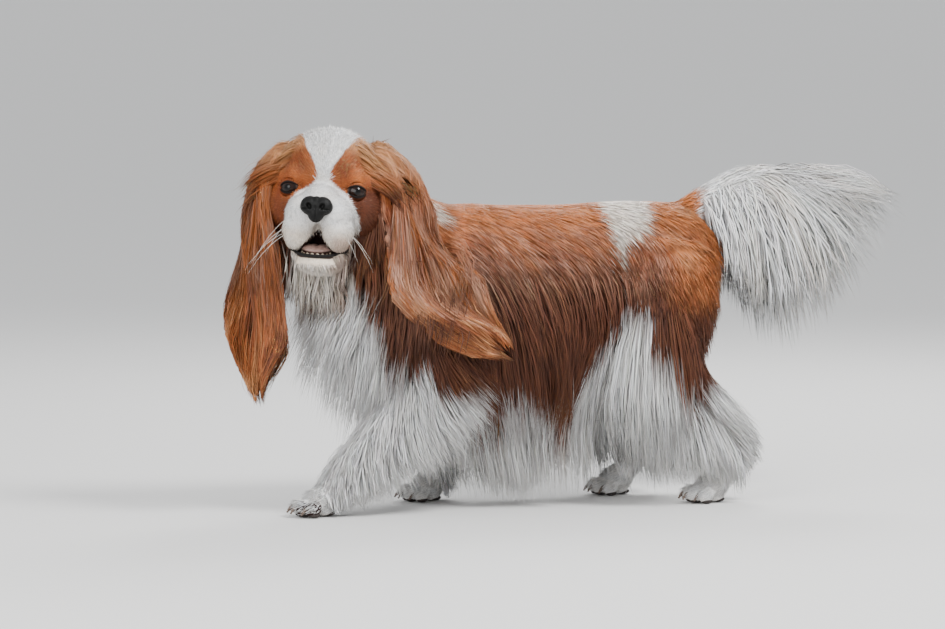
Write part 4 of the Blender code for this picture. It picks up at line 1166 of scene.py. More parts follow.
def leather_material(name, code, roughness, grain, depth, coat=0.0, gloss=0.5):
    """Bare skin, such as the nose leather or a pad: dark, finely pebbled, moist where coat is high."""
    material, tree, shader = new_material(
        name, roughness, 1.45, Coat_Weight=coat, Coat_Roughness=0.18, Specular_IOR_Level=gloss,
    )
    spot = add_node(tree, "ShaderNodeTexCoord")
    cells = add_node(tree, "ShaderNodeTexVoronoi", [(spot.outputs["Object"], "Vector")], Scale=1.0 / grain)
    cloud = add_node(tree, "ShaderNodeTexNoise", [(spot.outputs["Object"], "Vector")],
                     Scale=0.25 / grain, Detail=3.0)
    ramp = add_node(tree, "ShaderNodeValToRGB", [(cloud.outputs["Fac"], "Fac")])
    base = hex_colour(code)
    dark, pale = ramp.color_ramp.elements
    dark.position, pale.position = 0.3, 0.75
    dark.color = (*(base * 0.75), 1)
    pale.color = (*np.clip(base * 1.35 + 0.002, 0, 1), 1)
    tree.links.new(ramp.outputs["Color"], shader.inputs["Base Color"])
    bump = add_node(tree, "ShaderNodeBump", [(cells.outputs["Distance"], "Height")],
                    invert=True, Strength=0.6, Distance=depth)
    tree.links.new(bump.outputs["Normal"], shader.inputs["Normal"])
    return material


def painted_material(name, roughness, ior, layer, coat=0.0, grain=400.0, gloss=0.5):
    """A finish whose colour comes from the piece's own colour layer, with a little unevenness."""
    material, tree, shader = new_material(
        name, roughness, ior, Coat_Weight=coat, Coat_Roughness=0.03, Specular_IOR_Level=gloss,
    )
    spot = add_node(tree, "ShaderNodeTexCoord")
    cloud = add_node(tree, "ShaderNodeTexNoise", [(spot.outputs["Object"], "Vector")],
                     Scale=grain, Detail=3.0)
    shade_layer(tree, shader, layer, cloud, 0.82, 1.12)
    return material


def hair():
    """The one hair material, made when it is first asked for."""
    return bpy.data.materials.get("hair_keratin") or hair_material()


# Features

def eyeball(name, side, iris, pupil):
    """A ball with a slightly raised cornea; its colours go by the angle from the gaze."""
    bm = bmesh.new()
    bmesh.ops.create_uvsphere(bm, u_segments=64, v_segments=48, radius=EYE_RADIUS)
    obj = from_bmesh(name, bm)
    points = mesh_points(obj.data)
    angle = np.degrees(np.arccos(np.clip(points[:, 2] / EYE_RADIUS, -1, 1)))
    points *= (1 + 0.055 * step(30 - angle, 0, 26))[:, None]
    obj.data.vertices.foreach_set("co", points.ravel())
    spoke = np.arctan2(points[:, 1], points[:, 0])
    fibre = 1 + 0.25 * np.sin(spoke * 37) * np.sin(spoke * 13 + 1) * step(angle, 14, 22)
    colour = iris[None] * (fibre * (1.25 - 0.012 * angle))[:, None]
    colour = blend_to(pupil[None], colour, step(angle, 15.0, 18.0))
    colour = blend_to(colour, hex_colour("#120B08"), step(angle, 34, 40))
    colour = blend_to(colour, hex_colour("#4A3A33"), step(angle, 42, 50))
    paint_points(obj.data, np.clip(colour, 0, 1), "eye")
    obj.data.transform(eye_spot(side))
    return obj


def lids(name, side, tint):
    """Upper and lower lid as one ring over the eyeball, with an almond opening and a dark leather edge."""
    count = 56
    profile = [(0.0, 0.0002), (0.0, 0.0008), (0.1, 0.0011), (0.35, 0.001), (0.65, 0.0002), (1.0, -0.0016),
               (1.0, -0.0028), (0.6, -0.0014), (0.2, -0.0002)]
    wide = 62  # half the opening's width, in degrees from the gaze
    power = 1.6  # how pointed its corners are
    rows = []
    for share, lift in profile:
        row = []
        for k in range(count):
            a = 2 * math.pi * k / count
            tall = 25 if math.sin(a) > 0 else 23
            round_out = abs(math.cos(a) / wide) ** power + abs(math.sin(a) / tall) ** power
            inner = math.radians(1 / round_out ** (1 / power))
            angle = inner + (math.radians(84) - inner) * share
            reach = EYE_RADIUS + lift
            b = a - side * 0.1
            flat = reach * math.sin(angle)
            row.append(Vector((flat * math.cos(b), flat * math.sin(b), reach * math.cos(angle))))
        rows.append(row)
    obj = shell(name, rows)
    obj.data.transform(eye_spot(side))
    fur = coat_shade(mesh_points(obj.data), np.full(len(profile) * count, BUILD["names"].index("head")), tint)
    rim = step(0.34 - np.repeat([share for share, _ in profile], count), 0, 0.16)[:, None]
    paint_points(obj.data, hex_colour("#0D0908") * rim + fur * 0.9 * (1 - rim), "lid")
    return obj


def nose_pad():
    """The nose leather: a heart of three swellings with comma nostrils and the groove between them."""
    bm = bmesh.new()
    for side in (-1, 1):
        ellipsoid(bm, (side * 0.0064, -0.0732, -0.0168), (0.01, 0.0088, 0.0098))
        ellipsoid(bm, (side * 0.0108, -0.0716, -0.0175), (0.006, 0.0074, 0.0072))
    ellipsoid(bm, (0, -0.073, -0.015), (0.007, 0.008, 0.0082))
    ellipsoid(bm, (0, -0.073, -0.0232), (0.0088, 0.0088, 0.0105))
    pad = melted("nose_leather", bm, 0.0006, 6)
    points = mesh_points(pad.data)
    x, y, z = points.T
    front = step(-y, 0.0735, 0.076)
    dent = np.zeros(len(points))
    for side in (-1, 1):
        a = math.radians(side * 24)
        along = (x - side * 0.0068) * math.sin(a) + (z + 0.017) * math.cos(a)
        across = (x - side * 0.0068) * math.cos(a) - (z + 0.017) * math.sin(a)
        hole = np.exp(-((along / 0.0032) ** 2 + (across / 0.0023) ** 2) ** 1.5)
        slit = np.exp(-(((x - side * 0.011) / 0.0034) ** 2 + ((z + 0.0197) / 0.001) ** 2))
        dent = np.maximum(dent, np.maximum(0.0046 * hole, 0.0026 * slit))
    groove = 0.0012 * np.exp(-((x / 0.0007) ** 2)) * step(-z, 0.015, 0.019)
    points[:, 1] += (dent + groove) * front
    pad.data.vertices.foreach_set("co", points.ravel())
    pad.data.transform(HEAD)
    return pad


def lip_edge(x, front):
    """The height of the lip's lower edge, which rises to the corners of the mouth."""
    return front + 0.0055 * step(np.abs(x), 0.014, 0.026)


def jaw_piece(tint):
    """Lower jaw with its black lip, which rises and thickens to the corners, and cream chin."""
    bm = bmesh.new()
    for centre, radii, _ in JAW:
        ellipsoid(bm, centre, [r - 0.001 for r in radii])
    for k in range(80):
        a = 2 * math.pi * k / 80
        front = max(0.0, -math.sin(a))
        thick = 0.0016 + 0.0022 * (1 - front) ** 2 * (math.sin(a) < 0.3)
        spot = (0.0265 * math.cos(a), -0.033 + 0.0325 * math.sin(a), -0.06 - 0.0072 * front**0.7)
        ellipsoid(bm, spot, (thick + 0.0004, thick + 0.0004, thick), None, 10)
    obj = melted("jaw_skin", bm, 0.001, 4)
    points = mesh_points(obj.data)
    x, y, z = points.T
    inside_lip = 1.0 - ((x / 0.025) ** 2 + ((y + 0.033) / 0.0325) ** 2)
    top = step(z - lip_edge(x, -0.07), -0.0008, 0.0004)
    mouth = step(inside_lip, -0.02, 0.05) * step(z, -0.07, -0.068)
    colours = tint["cream"] * 0.8 * np.ones((len(points), 1))
    colours = blend_to(colours, hex_colour("#0D0A09"), top)
    colours = blend_to(colours, hex_colour("#3A201E"), mouth)
    paint_points(obj.data, colours, "mouth")
    obj.data.transform(HEAD)
    return obj


def tongue_piece():
    bm = bmesh.new()
    ellipsoid(bm, (0, -0.04, -0.0608), (0.0185, 0.0225, 0.005))
    obj = from_bmesh("tongue_flesh", bm)
    points = mesh_points(obj.data)
    points[:, 2] -= 0.0014 * np.exp(-((points[:, 0] / 0.0022) ** 2)) * step(points[:, 2], -0.061, -0.058)
    points[:, 2] -= 0.002 * step(-points[:, 1], 0.052, 0.063)
    obj.data.vertices.foreach_set("co", points.ravel())
    obj.data.transform(HEAD)
    return obj


def teeth_piece():
    """Six lower incisors between two canines, in an arc behind the lip, with rounded crowns."""
    bm = bmesh.new()
    for k in range(8):
        a = math.radians(-74 + 148 * k / 7)
        canine = k in (0, 7)
        x, y = 0.015 * math.sin(a), -0.048 - 0.014 * math.cos(a)
        tall = 0.0055 if canine else 0.004
        turn = Matrix.Rotation(a, 4, "Z")
        ellipsoid(bm, (x, y, -0.0686), (0.0018 if canine else 0.0025, 0.0013, tall), turn, 14)
    obj = from_bmesh("teeth", bm)
    obj.data.transform(HEAD)
    return obj


def claws_and_pads():
    """A curved claw for each toe, and the leather pads underneath."""
    claws, pads = bmesh.new(), bmesh.new()
    for px, py in PAWS.values():
        for (x, y, z), (long, _, _), pair in PAW:
            if not pair:
                continue
            for side in (1, -1):
                root = Vector((px + x - long * 0.62, py + side * y, z + 0.0006))
                for k in range(6):
                    t = k / 5
                    spot = root + Vector((-0.0078 * t, side * 0.0004 * t, -0.007 * t * t - 0.0012 * t))
                    size = 0.0021 * (1 - t) ** 0.8 + 0.0006
                    ellipsoid(claws, spot, (size * 1.2, size * 0.72, size), None, 10)
                toe = (px + x + 0.001, py + side * y, 0.0032)
                ellipsoid(pads, toe, (long * 0.62, 0.005, 0.003), None, 16)
        ellipsoid(pads, (px + 0.006, py, 0.0034), (0.0095, 0.01, 0.0032), None, 20)
    return melted("claws", claws, 0.0006, 1), melted("pads", pads, 0.0013, 3)


# Things that repeat, by geometry nodes

def node_group(name, inputs):
    tree = bpy.data.node_groups.new(name, "GeometryNodeTree")
    tree.interface.new_socket("Geometry", in_out="INPUT", socket_type="NodeSocketGeometry")
    for label, kind, value in inputs:
        made = tree.interface.new_socket(label, in_out="INPUT", socket_type=kind)
        if value is not None:
            made.default_value = value
    tree.interface.new_socket("Geometry", in_out="OUTPUT", socket_type="NodeSocketGeometry")
    return tree


def run_group(obj, tree, values, material):
    """Runs a tree on an object and leaves the result as its plain mesh."""
    values = {**values, "Material": material}
    modifier = obj.modifiers.new("build", "NODES")
    modifier.node_group = tree
    for item in tree.interface.items_tree:
        if item.item_type == "SOCKET" and item.in_out == "INPUT" and item.name in values:
            modifier[item.identifier] = values[item.name]
    return evaluate(obj)


def finish_tree(tree, source, geometry):
    """Ends a tree: real geometry with the material of its input."""
    real = add_node(tree, "GeometryNodeRealizeInstances", [(geometry, "Geometry")])
    coated = add_node(tree, "GeometryNodeSetMaterial",
                      [(real.outputs["Geometry"], "Geometry"), (source.outputs["Material"], "Material")])
    add_node(tree, "NodeGroupOutput", [(coated.outputs["Geometry"], "Geometry")])


def tuft_tree():
    """Puts a bent, three-sided tuft on each point, along its lie and scaled by its own size."""
    tree = node_group("short tufts", [
        ("Width", "NodeSocketFloat", 0.0011), ("Flatness", "NodeSocketFloat", 0.45),
        ("Bend", "NodeSocketFloat", 0.18), ("Material", "NodeSocketMaterial", None),
    ])
    source = add_node(tree, "NodeGroupInput")
    cone = add_node(tree, "GeometryNodeMeshCone", Vertices=3, Side_Segments=2,
                    Radius_Top=0.0, Radius_Bottom=0.5, Depth=1.0)
    spot = add_node(tree, "GeometryNodeInputPosition")
    parts = add_node(tree, "ShaderNodeSeparateXYZ", [(spot.outputs["Position"], "Vector")])
    square = add_node(tree, "ShaderNodeMath", [(parts.outputs["Z"], 0), (parts.outputs["Z"], 1)],
                      operation="MULTIPLY")
    dip = add_node(tree, "ShaderNodeMath", [(square.outputs[0], 0), (source.outputs["Bend"], 1)],
                   operation="MULTIPLY")
    down = add_node(tree, "ShaderNodeMath", [(dip.outputs[0], 0)], operation="MULTIPLY")
    down.inputs[1].default_value = -1.0
    shift = add_node(tree, "ShaderNodeCombineXYZ", [(down.outputs[0], "X")])
    store = add_node(
        tree, "GeometryNodeStoreNamedAttribute",
        [(cone.outputs["Mesh"], "Geometry"), (parts.outputs["Z"], "Value")],
        data_type="FLOAT", domain="POINT", Name="along",
    )
    bent = add_node(tree, "GeometryNodeSetPosition",
                    [(store.outputs["Geometry"], "Geometry"), (shift.outputs["Vector"], "Offset")])
    lie = add_node(tree, "GeometryNodeInputNamedAttribute", data_type="FLOAT_VECTOR", Name="lie")
    rise = add_node(tree, "GeometryNodeInputNamedAttribute", data_type="FLOAT_VECTOR", Name="lay")
    turn = add_node(
        tree, "FunctionNodeAxesToRotation", [(lie.outputs["Attribute"], 0), (rise.outputs["Attribute"], 1)],
        primary_axis="Z", secondary_axis="X",
    )
    size = add_node(tree, "GeometryNodeInputNamedAttribute", data_type="FLOAT", Name="size")
    girth = add_node(tree, "GeometryNodeInputNamedAttribute", data_type="FLOAT", Name="girth")
    wide = add_node(tree, "ShaderNodeMath", [(girth.outputs["Attribute"], 0), (source.outputs["Width"], 1)],
                    operation="MULTIPLY")
    thin = add_node(tree, "ShaderNodeMath", [(wide.outputs[0], 0), (source.outputs["Flatness"], 1)],
                    operation="MULTIPLY")
    scale = add_node(tree, "ShaderNodeCombineXYZ",
                     [(thin.outputs[0], "X"), (wide.outputs[0], "Y"), (size.outputs["Attribute"], "Z")])
    placed = add_node(tree, "GeometryNodeInstanceOnPoints", [
        (source.outputs["Geometry"], "Points"), (bent.outputs["Geometry"], "Instance"),
        (turn.outputs[0], "Rotation"), (scale.outputs["Vector"], "Scale"),
    ])
    finish_tree(tree, source, placed.outputs["Instances"])
    return tree


def short_coat(name, chance, lengths, width, seed, tint, lie, labels, lift=0.22, surface=None):
    """Short tufts, each a copy of one bent tuft, laid along the coat."""
    draw = np.random.default_rng(seed)
    count = tuft_count(name)
    roots, normals, owners = sample(chance, count, draw, surface)
    way = unit(lie(roots, normals, owners) + normals * lift + draw.normal(0, 0.08, roots.shape))
    sizes = lengths(roots, normals, owners) * draw.uniform(0.8, 1.2, count)
    shade = coat_shade(roots, owners, tint, draw)
    girth, _ = spread_widths(1.25, count, draw)
    mesh = bpy.data.meshes.new(name)
    mesh.vertices.add(count)
    mesh.vertices.foreach_set("co", (roots - normals * 0.0004).ravel())
    write_layer(mesh, "lie", "FLOAT_VECTOR", way)
    write_layer(mesh, "lay", "FLOAT_VECTOR", normals)
    write_layer(mesh, "size", "FLOAT", sizes)
    write_layer(mesh, "girth", "FLOAT", girth)
    paint_points(mesh, shade)
    tree = bpy.data.node_groups.get("short tufts") or tuft_tree()
    obj = run_group(link(name, mesh), tree, {"Width": width, "Flatness": 0.35}, hair())
    made = obj.data
    for key in ("lie", "size", "girth"):
        if key in made.attributes:
            made.attributes.remove(made.attributes[key])
    for old in list(made.uv_layers):
        made.uv_layers.remove(old)
    # Each copy has the same number of corners and points, so its place follows from its number
    each = len(made.vertices) // count
    local = np.stack([np.linspace(-0.4, 0.4, each), np.linspace(-0.5, 0.5, each)], 1)
    spots = np.repeat(bake_places(roots, owners, used_labels(*labels)), len(made.loops) // count, axis=0)
    write_unwrap(made, spots + local[corner_vertices(made) % each] * PATCH)
    return obj


def whisker_tree():
    """Turns each line into a thin tapered tube."""
    tree = node_group("whiskers", [
        ("Root radius", "NodeSocketFloat", 0.00034), ("Sides", "NodeSocketInt", 6),
        ("Material", "NodeSocketMaterial", None),
    ])
    source = add_node(tree, "NodeGroupInput")
    curve = add_node(tree, "GeometryNodeMeshToCurve", [(source.outputs["Geometry"], "Mesh")])
    share = add_node(tree, "GeometryNodeSplineParameter")
    thin = add_node(tree, "ShaderNodeMapRange", [(share.outputs["Factor"], "Value")], To_Min=1.0, To_Max=0.12)
    size = add_node(tree, "ShaderNodeMath", [(thin.outputs["Result"], 0), (source.outputs["Root radius"], 1)],
                    operation="MULTIPLY")
    ring = add_node(tree, "GeometryNodeCurvePrimitiveCircle", [(source.outputs["Sides"], "Resolution")],
                    Radius=1.0)
    tube = add_node(
        tree, "GeometryNodeCurveToMesh",
        [(curve.outputs["Curve"], "Curve"), (ring.outputs["Curve"], "Profile Curve"),
         (size.outputs[0], "Scale")],
        Fill_Caps=True,
    )
    finish_tree(tree, source, tube.outputs["Mesh"])
    return tree


def whiskers():
    """A few white whiskers from each side of the muzzle, of uneven lengths."""
    draw = np.random.default_rng(5)
    verts, edges = [], []
    for side, number in ((1, 3), (-1, 5)):
        for _ in range(number):
            u = draw.random()
            root = Vector((side * (0.028 + 0.006 * u), -0.064 + 0.02 * u, -0.03 - 0.018 * draw.random()))
            way = Vector((side * (0.85 + 0.3 * u), -0.25 + 0.5 * u, -0.15 - 0.9 * draw.random()))
            reach = draw.uniform(0.02, 0.046)
            first = len(verts)
            for j in range(9):
                t = j / 8
                sag = Vector((0, 0.22 * t * t, -0.55 * t * t * draw.uniform(0.95, 1.05)))
                verts.append(HEAD @ (root + (way.normalized() * t + sag) * reach))
            edges += [(first + j, first + j + 1) for j in range(8)]
    mesh = bpy.data.meshes.new("whiskers")
    mesh.from_pydata([tuple(v) for v in verts], edges, [])
    return link("whiskers", mesh)


# Long coat

def strands(name, paths, roots, normals, owners, width, seed, tint, labels, every, strength, curl, tip, loose,
            apart=0.0):
    """Long hair from ready paths: curled, drawn into locks and woven into a mesh."""
    draw = np.random.default_rng(seed)
    wide, fine = spread_widths(width, len(roots), draw)
    paths = wave(paths, curl, 1.1, draw, 6)
    paths = gather(paths, roots + apart, every, strength, draw, loose)
    paths = paths + (fine * 0.001)[:, None, None] * normals[:, None]
    paths = keep_out(paths, 0.001)
    shade = path_shade(paths, owners, tint, draw, tip)
    spots = bake_places(roots, owners, used_labels(*labels))
    return weave(name, paths, facing_of(normals, draw, 0.28), normals, wide, shade, spots)


def ear_coat(name, seed, tint):
    """Wavy tresses down both faces of an ear, ending round its edge and past its tip."""
    draw = np.random.default_rng(seed)
    label = f"ear_{name}"
    count = tuft_count(label)
    form = BUILD["forms"][label]
    steps = 4
    start = draw.beta(1.0, 1.4, count) * 0.9
    reach = np.interp(start, [0, 0.3, 0.9], [0.32, 0.42, 0.22]) * draw.uniform(0.75, 1.25, count)
    end = np.minimum(start + reach, draw.uniform(0.88, 1.04, count))
    lateral = draw.uniform(-1, 1, count)
    face = np.where(draw.random(count) < 0.7, 1.0, -1.0)
    lateral = np.sign(lateral) * np.abs(lateral) ** 0.75 * np.where(face < 0, 0.8, 1.0)
    stand = draw.uniform(0.2, 1.0, count)
    left = name == "left"
    turns = 3.0 if left else 2.6
    blown = np.array([0.009, -0.003, 0.012]) * left  # the left ear's end is swept back and up
    points = []
    for k in range(steps + 1):
        t = k / steps
        share = start + (end - start) * t
        centre, across, out, along, wide, _ = form.at(share)
        centre = centre + blown * step(share, 0.5, 1.0)[:, None]
        over = np.maximum(share - 1, 0) * 0.2
        sway = np.sin(FULL_PHASE * (share * turns + 0.45 * lateral + 0.1 * face)) * (0.04 + 0.17 * share)
        if left:  # fuller behind, next to the skull, and clear of the cheek in front
            behind = 1 + 0.8 * np.interp(share, [0, 0.13, 0.23, 0.34, 0.5], [-0.35, 0.1, 1, 0.7, 0])
            before = np.interp(share, [0, 0.3, 0.48, 0.62, 1], [0.6, 0.55, 0.75, 1.08, 1.0])
        else:  # nearer to the cheek above, and a little fuller towards the throat below
            behind = 1 + 0.22 * np.interp(share, [0.25, 0.5, 0.8, 1.0], [0, 1, 1, 0])
            before = np.interp(share, [0, 0.15, 0.3, 0.5, 0.65, 1], [0.55, 0.6, 0.7, 0.72, 0.95, 0.95])
        side = lateral * np.where(lateral < 0, behind, before) * (1.02 + 0.1 * t) + sway
        bulge = 0.006 * np.sin(FULL_PHASE * (share * turns * 0.9 + 0.8 * lateral))
        bulge = bulge * np.minimum(share * 1.6, 1)
        lift = 0.003 + 0.006 * stand * math.sin(math.pi * min(t * 0.9 + 0.05, 1)) + bulge
        lift = face * np.maximum(lift, 0.0018) - 0.16 * wide * np.minimum(side**2, 1.5)
        points.append(centre + across * (side * wide)[:, None] + along * over[:, None] + out * lift[:, None])
    paths = np.stack(points, 1)
    _, across, out, _, _, _ = form.at(start)
    facing = out * face[:, None]
    normals = unit(facing + across * (lateral * 0.6)[:, None])
    owners = np.full(count, BUILD["names"].index(label))
    # The roots of the two faces are held apart, so that a lock takes hair from one face alone
    return strands(f"coat_{label}", paths, paths[:, 0], normals, owners, 0.0017, seed, tint, [label],
                   22, 0.56, 0.0028, tip=1.12, loose=0.34, apart=facing * 0.04)


def plume_coat(seed, tint):
    """The tail's plume: long straight hair from all along the bone out to the plume's outline."""
    draw = np.random.default_rng(seed)
    count = tuft_count("tail")
    form = BUILD["forms"]["tail"]
    steps = 4
    share = draw.random(count)
    edge = np.array(PLUME)
    spot = share * (len(edge) - 1)
    low = np.minimum(spot.astype(int), len(edge) - 2)
    tip = edge[low] + (edge[low + 1] - edge[low]) * (spot - low)[:, None]
    start = np.clip(0.2 + 0.78 * (1 - share) ** 1.05 + draw.normal(0, 0.09, count), 0.18, 0.99)
    centre, across, out, _, wide, deep = form.at(start)
    turn = draw.uniform(0, 2 * np.pi, count)
    normals = unit(across * np.cos(turn)[:, None] + out * np.sin(turn)[:, None])
    roots = centre + across * (wide * np.cos(turn))[:, None] + out * (deep * np.sin(turn))[:, None]
    side = np.cos(turn) * 0.015 + draw.normal(0, 0.01, count)
    end = np.stack([tip[:, 0], side, tip[:, 1]], 1)
    cut = 1.02 - 0.6 * draw.random(count) ** 1.5
    way = (end - roots) * cut[:, None]
    end = roots + way
    reach = np.linalg.norm(way, axis=1)
    sag = np.stack([0.08 * reach, side * 0.5, 0.19 * reach], 1)
    middle = roots + way * 0.45 + sag + normals * 0.008
    t = np.linspace(0, 1, steps + 1)[None, :, None]
    paths = roots[:, None] * (1 - t) ** 2 + middle[:, None] * 2 * t * (1 - t) + end[:, None] * t**2
    paths[..., 2] += 0.0055 * np.sin(t[..., 0] * 6.5 + share[:, None] * 34) * t[..., 0]
    owners = np.full(count, BUILD["names"].index("tail"))
    lay = unit(normals * 0.6 + np.array([0, -0.8, 0.3]) * np.where(side < 0.004, 1, -1)[:, None])
    return strands("coat_tail", paths, roots, lay, owners, 0.0019, seed, tint, ["tail"], 16, 0.42, 0.0034,
                   tip=1.02, loose=0.36)


def where(*conditions):
    """Weights of the skin's triangles, as the product of tests."""
    made = np.ones(len(BUILD["middles"]))
    for condition in conditions:
        made = made * condition
    return made


def middle_of():
    """The skin's triangles: x, y and z of their middles, and their normals."""
    return (*BUILD["middles"].T, BUILD["normals"][BUILD["triangles"][:, 0]])


def toward(*way):
    """A last direction that is the same for all hair."""
    way = np.array(way, float)
    return lambda roots, *_: np.broadcast_to(way, roots.shape)


def hanging(forward, spread):
    """A last direction that falls, and spreads sideways with the skin's own direction."""
    return lambda roots, normals, _: np.stack(
        [np.full(len(roots), forward), normals[:, 1] * spread, np.full(len(roots), -1.0)], 1)


def same(length):
    """One length for all roots."""
    return lambda roots, *_: np.full(len(roots), length)


def by_height(heights, values):
    """A value for each root by its height."""
    return lambda roots, *_: np.interp(roots[:, 2], heights, values)


def body_lengths(roots, normals, owners):
    made = np.interp(roots[:, 2], [0.15, 0.2, 0.26, 0.31], [0.05, 0.046, 0.036, 0.025])
    return np.where(named(owners) == "neck", 0.036, made)


def body_coat(side, seed, tint):
    """The lying coat of one side, thinner under the belly."""
    _, y, z, _ = middle_of()
    half = (y < 0) if side == "left" else (y >= 0)
    chance = where(label_chance("torso", "neck"), half, 0.55 + 0.45 * step(z, 0.17, 0.22))
    return grow(f"coat_body_{side}", chance, body_lengths, 0.0019, 2, seed, tint, ("torso", "neck"),
                lift=0.1, drop=0.1, every=12, strength=0.22, curl=0.001, tip=1.04)


def fringe_coat(side, tint):
    """The belly fringe: chestnut hair from the flank over longer white hair from the belly."""
    x, y, z, normals = middle_of()
    sign = SIDES[side]
    low, high = {"left": (-0.09, 0.125), "right": (-0.072, 0.088)}[side]
    here = where(label_chance("torso"), y * sign > -0.004, x > low, x < high)
    flank = where(here, 0.15 + 0.85 * step(0.262 - z, 0, 0.07), z < 0.262, z > 0.15,
                  np.abs(normals[:, 1]) > 0.3)
    outer = grow(
        f"coat_flank_fringe_{side}", flank,
        by_height([0.15, 0.18, 0.215, 0.262], [0.1, 0.122, 0.12, 0.07]),
        0.0019, 3, 51 + sign, tint, ("torso",), every=13, strength=0.44, curl=0.004, tip=1.08,
        last=lambda p, n, lie: flow_at(p - np.array([0, 0, 0.05])) + np.array([0.04, 0, 0]) + n * 0.05,
    )
    belly = where(here, z < 0.19, normals[:, 2] < -0.5)
    inner = grow(
        f"coat_belly_fringe_{side}", belly, lambda p, n, o: np.clip(p[:, 2] - 0.008, 0.05, 0.19), 0.0019, 3,
        61 + sign, tint, ("torso",), lift=0.3, every=13, strength=0.44, curl=0.005,
        last=hanging(0.16, 0.06),
    )
    return [outer, inner]


def sunward(roots, normals):
    """Shading directions for hair under the chin, which lies outside the throat and not below it."""
    return unit(normals * 0.4 + np.array([-0.45, -0.75, 0.35]))


def bib_coat(tint):
    """The chest's and throat's long white hair, standing out from the neck and hanging."""
    x, y, z, normals = middle_of()
    chance = where(label_chance("torso", "neck"), x < -0.095, z < 0.315, normals[:, 0] < 0.15,
                   np.abs(y + 0.006) < 0.075, 0.35 + 0.65 * step(-normals[:, 0], 0.1, 0.6))

    def hang(roots, normals, lie):
        out = np.interp(roots[:, 2], [0.17, 0.24], [-0.06, -0.26])
        return np.stack([out, normals[:, 1] * 0.1 - 0.02, np.full(len(roots), -1.0)], 1)

    def lift(roots):
        far = step(roots[:, 1], 0.005, 0.035)
        return np.interp(roots[:, 2], [0.15, 0.19, 0.24, 0.3], [0.55, 0.8, 1.45, 1.45]) * (1 - 0.6 * far)

    return grow(
        "coat_bib", chance, by_height([0.13, 0.16, 0.2, 0.25, 0.31], [0.088, 0.112, 0.098, 0.088, 0.07]),
        0.0019, 3, 71, tint, ("torso", "neck"), lift=lift, every=13, strength=0.42, curl=0.0054, last=hang,
        lay=sunward,
    )


def leg_lengths(roots, normals, owners):
    z = roots[:, 2]
    full = 1 + 0.55 * (named(owners) == "foreleg_left") * (normals[:, 0] < 0.2) * step(z, 0.03, 0.06)
    return np.interp(z, [0.02, 0.06, 0.12, 0.2], [0.015, 0.02, 0.024, 0.028]) * full


def feather_coat(label, chance, seed, tint):
    """The foreleg's feather: long hair behind it that blows back, and shorter hair before it."""
    def lengths(roots, normals, owners):
        made = np.interp(roots[:, 2], [0.03, 0.08, 0.13, 0.18], [0.028, 0.064, 0.082, 0.076])
        return made * np.where(normals[:, 0] > 0, 1, 0.72)

    def blown(roots, normals, lie):
        back = np.interp(roots[:, 2], [0.05, 0.17], [0.15, 0.75]) * np.where(normals[:, 0] > 0, 1, 0.15)
        return np.stack([back, normals[:, 1] * 0.1, np.interp(roots[:, 2], [0.05, 0.17], [-1.0, -0.75])], 1)

    return grow(f"coat_{label}_feather", chance, lengths, 0.0019, 3, seed, tint, (label,),
                lift=0.6, every=12, strength=0.42, curl=0.005, last=blown)


def leg_coat(limb, side, tint, seed):
    """A leg's own coat: hair over all of it, with long feather behind it and before the stifle."""
    _, _, z, normals = middle_of()
    forward = normals[:, 0]
    label = f"{limb}_{side}"
    mine = label_chance(label)
    near = side == "left"
    fore = limb == "foreleg"
    made = [grow(f"coat_{label}", mine * (z < 0.27), leg_lengths, 0.0018, 2, seed, tint, (label,),
                 lift=0.45 if fore else 0.18, drop=0.25, every=9, strength=0.3, curl=0.0012, tip=1.02)]
    if fore:
        behind = where(mine, z < 0.19, z > 0.022, 0.3 + 0.7 * step(forward, -0.3, 0.5))
        return [*made, feather_coat(label, behind, seed + 1, tint)]
    made.append(grow(
        f"coat_{label}_breeches", where(mine, z < 0.235, z > 0.045, forward > 0.25),
        by_height([0.05, 0.09, 0.13, 0.17, 0.22], [0.024, 0.046, 0.066, 0.05, 0.034]),
        0.0019, 3, seed + 1, tint, (label,), lift=by_height([0.13, 0.18], [0.5, 0.12]), every=12,
        strength=0.46, curl=0.0034,
        last=lambda p, n, lie: np.stack([np.interp(p[:, 2], [0.12, 0.18], [0.7, 0.22]), 0 * n[:, 1],
                                         np.full(len(p), -0.9)], 1),
    ))
    made.append(grow(
        f"coat_{label}_stifle", where(mine, z < 0.215, z > 0.07, forward < 0.15),
        by_height([0.07, 0.1, 0.14, 0.21], [0.06, 0.088, 0.118, 0.138]),
        0.0019, 3, seed + 2, tint, (label,), lift=0.24 if near else 0.1, every=13, strength=0.42,
        curl=0.0056,
        last=hanging(0.12, 0.02 if near else -0.12),
    ))
    return made


def rump_coat(tint):
    """Longer hair down the rump."""
    x, _, z, normals = middle_of()
    chance = where(label_chance("torso"), x > 0.15, normals[:, 0] > 0.15, z < 0.3)
    return grow("coat_rump", chance, same(0.036), 0.0019, 3, 91, tint, ("torso",), lift=0.12, every=12,
                strength=0.36, curl=0.0025, last=toward(0.05, 0, -1.0), tip=1.1)


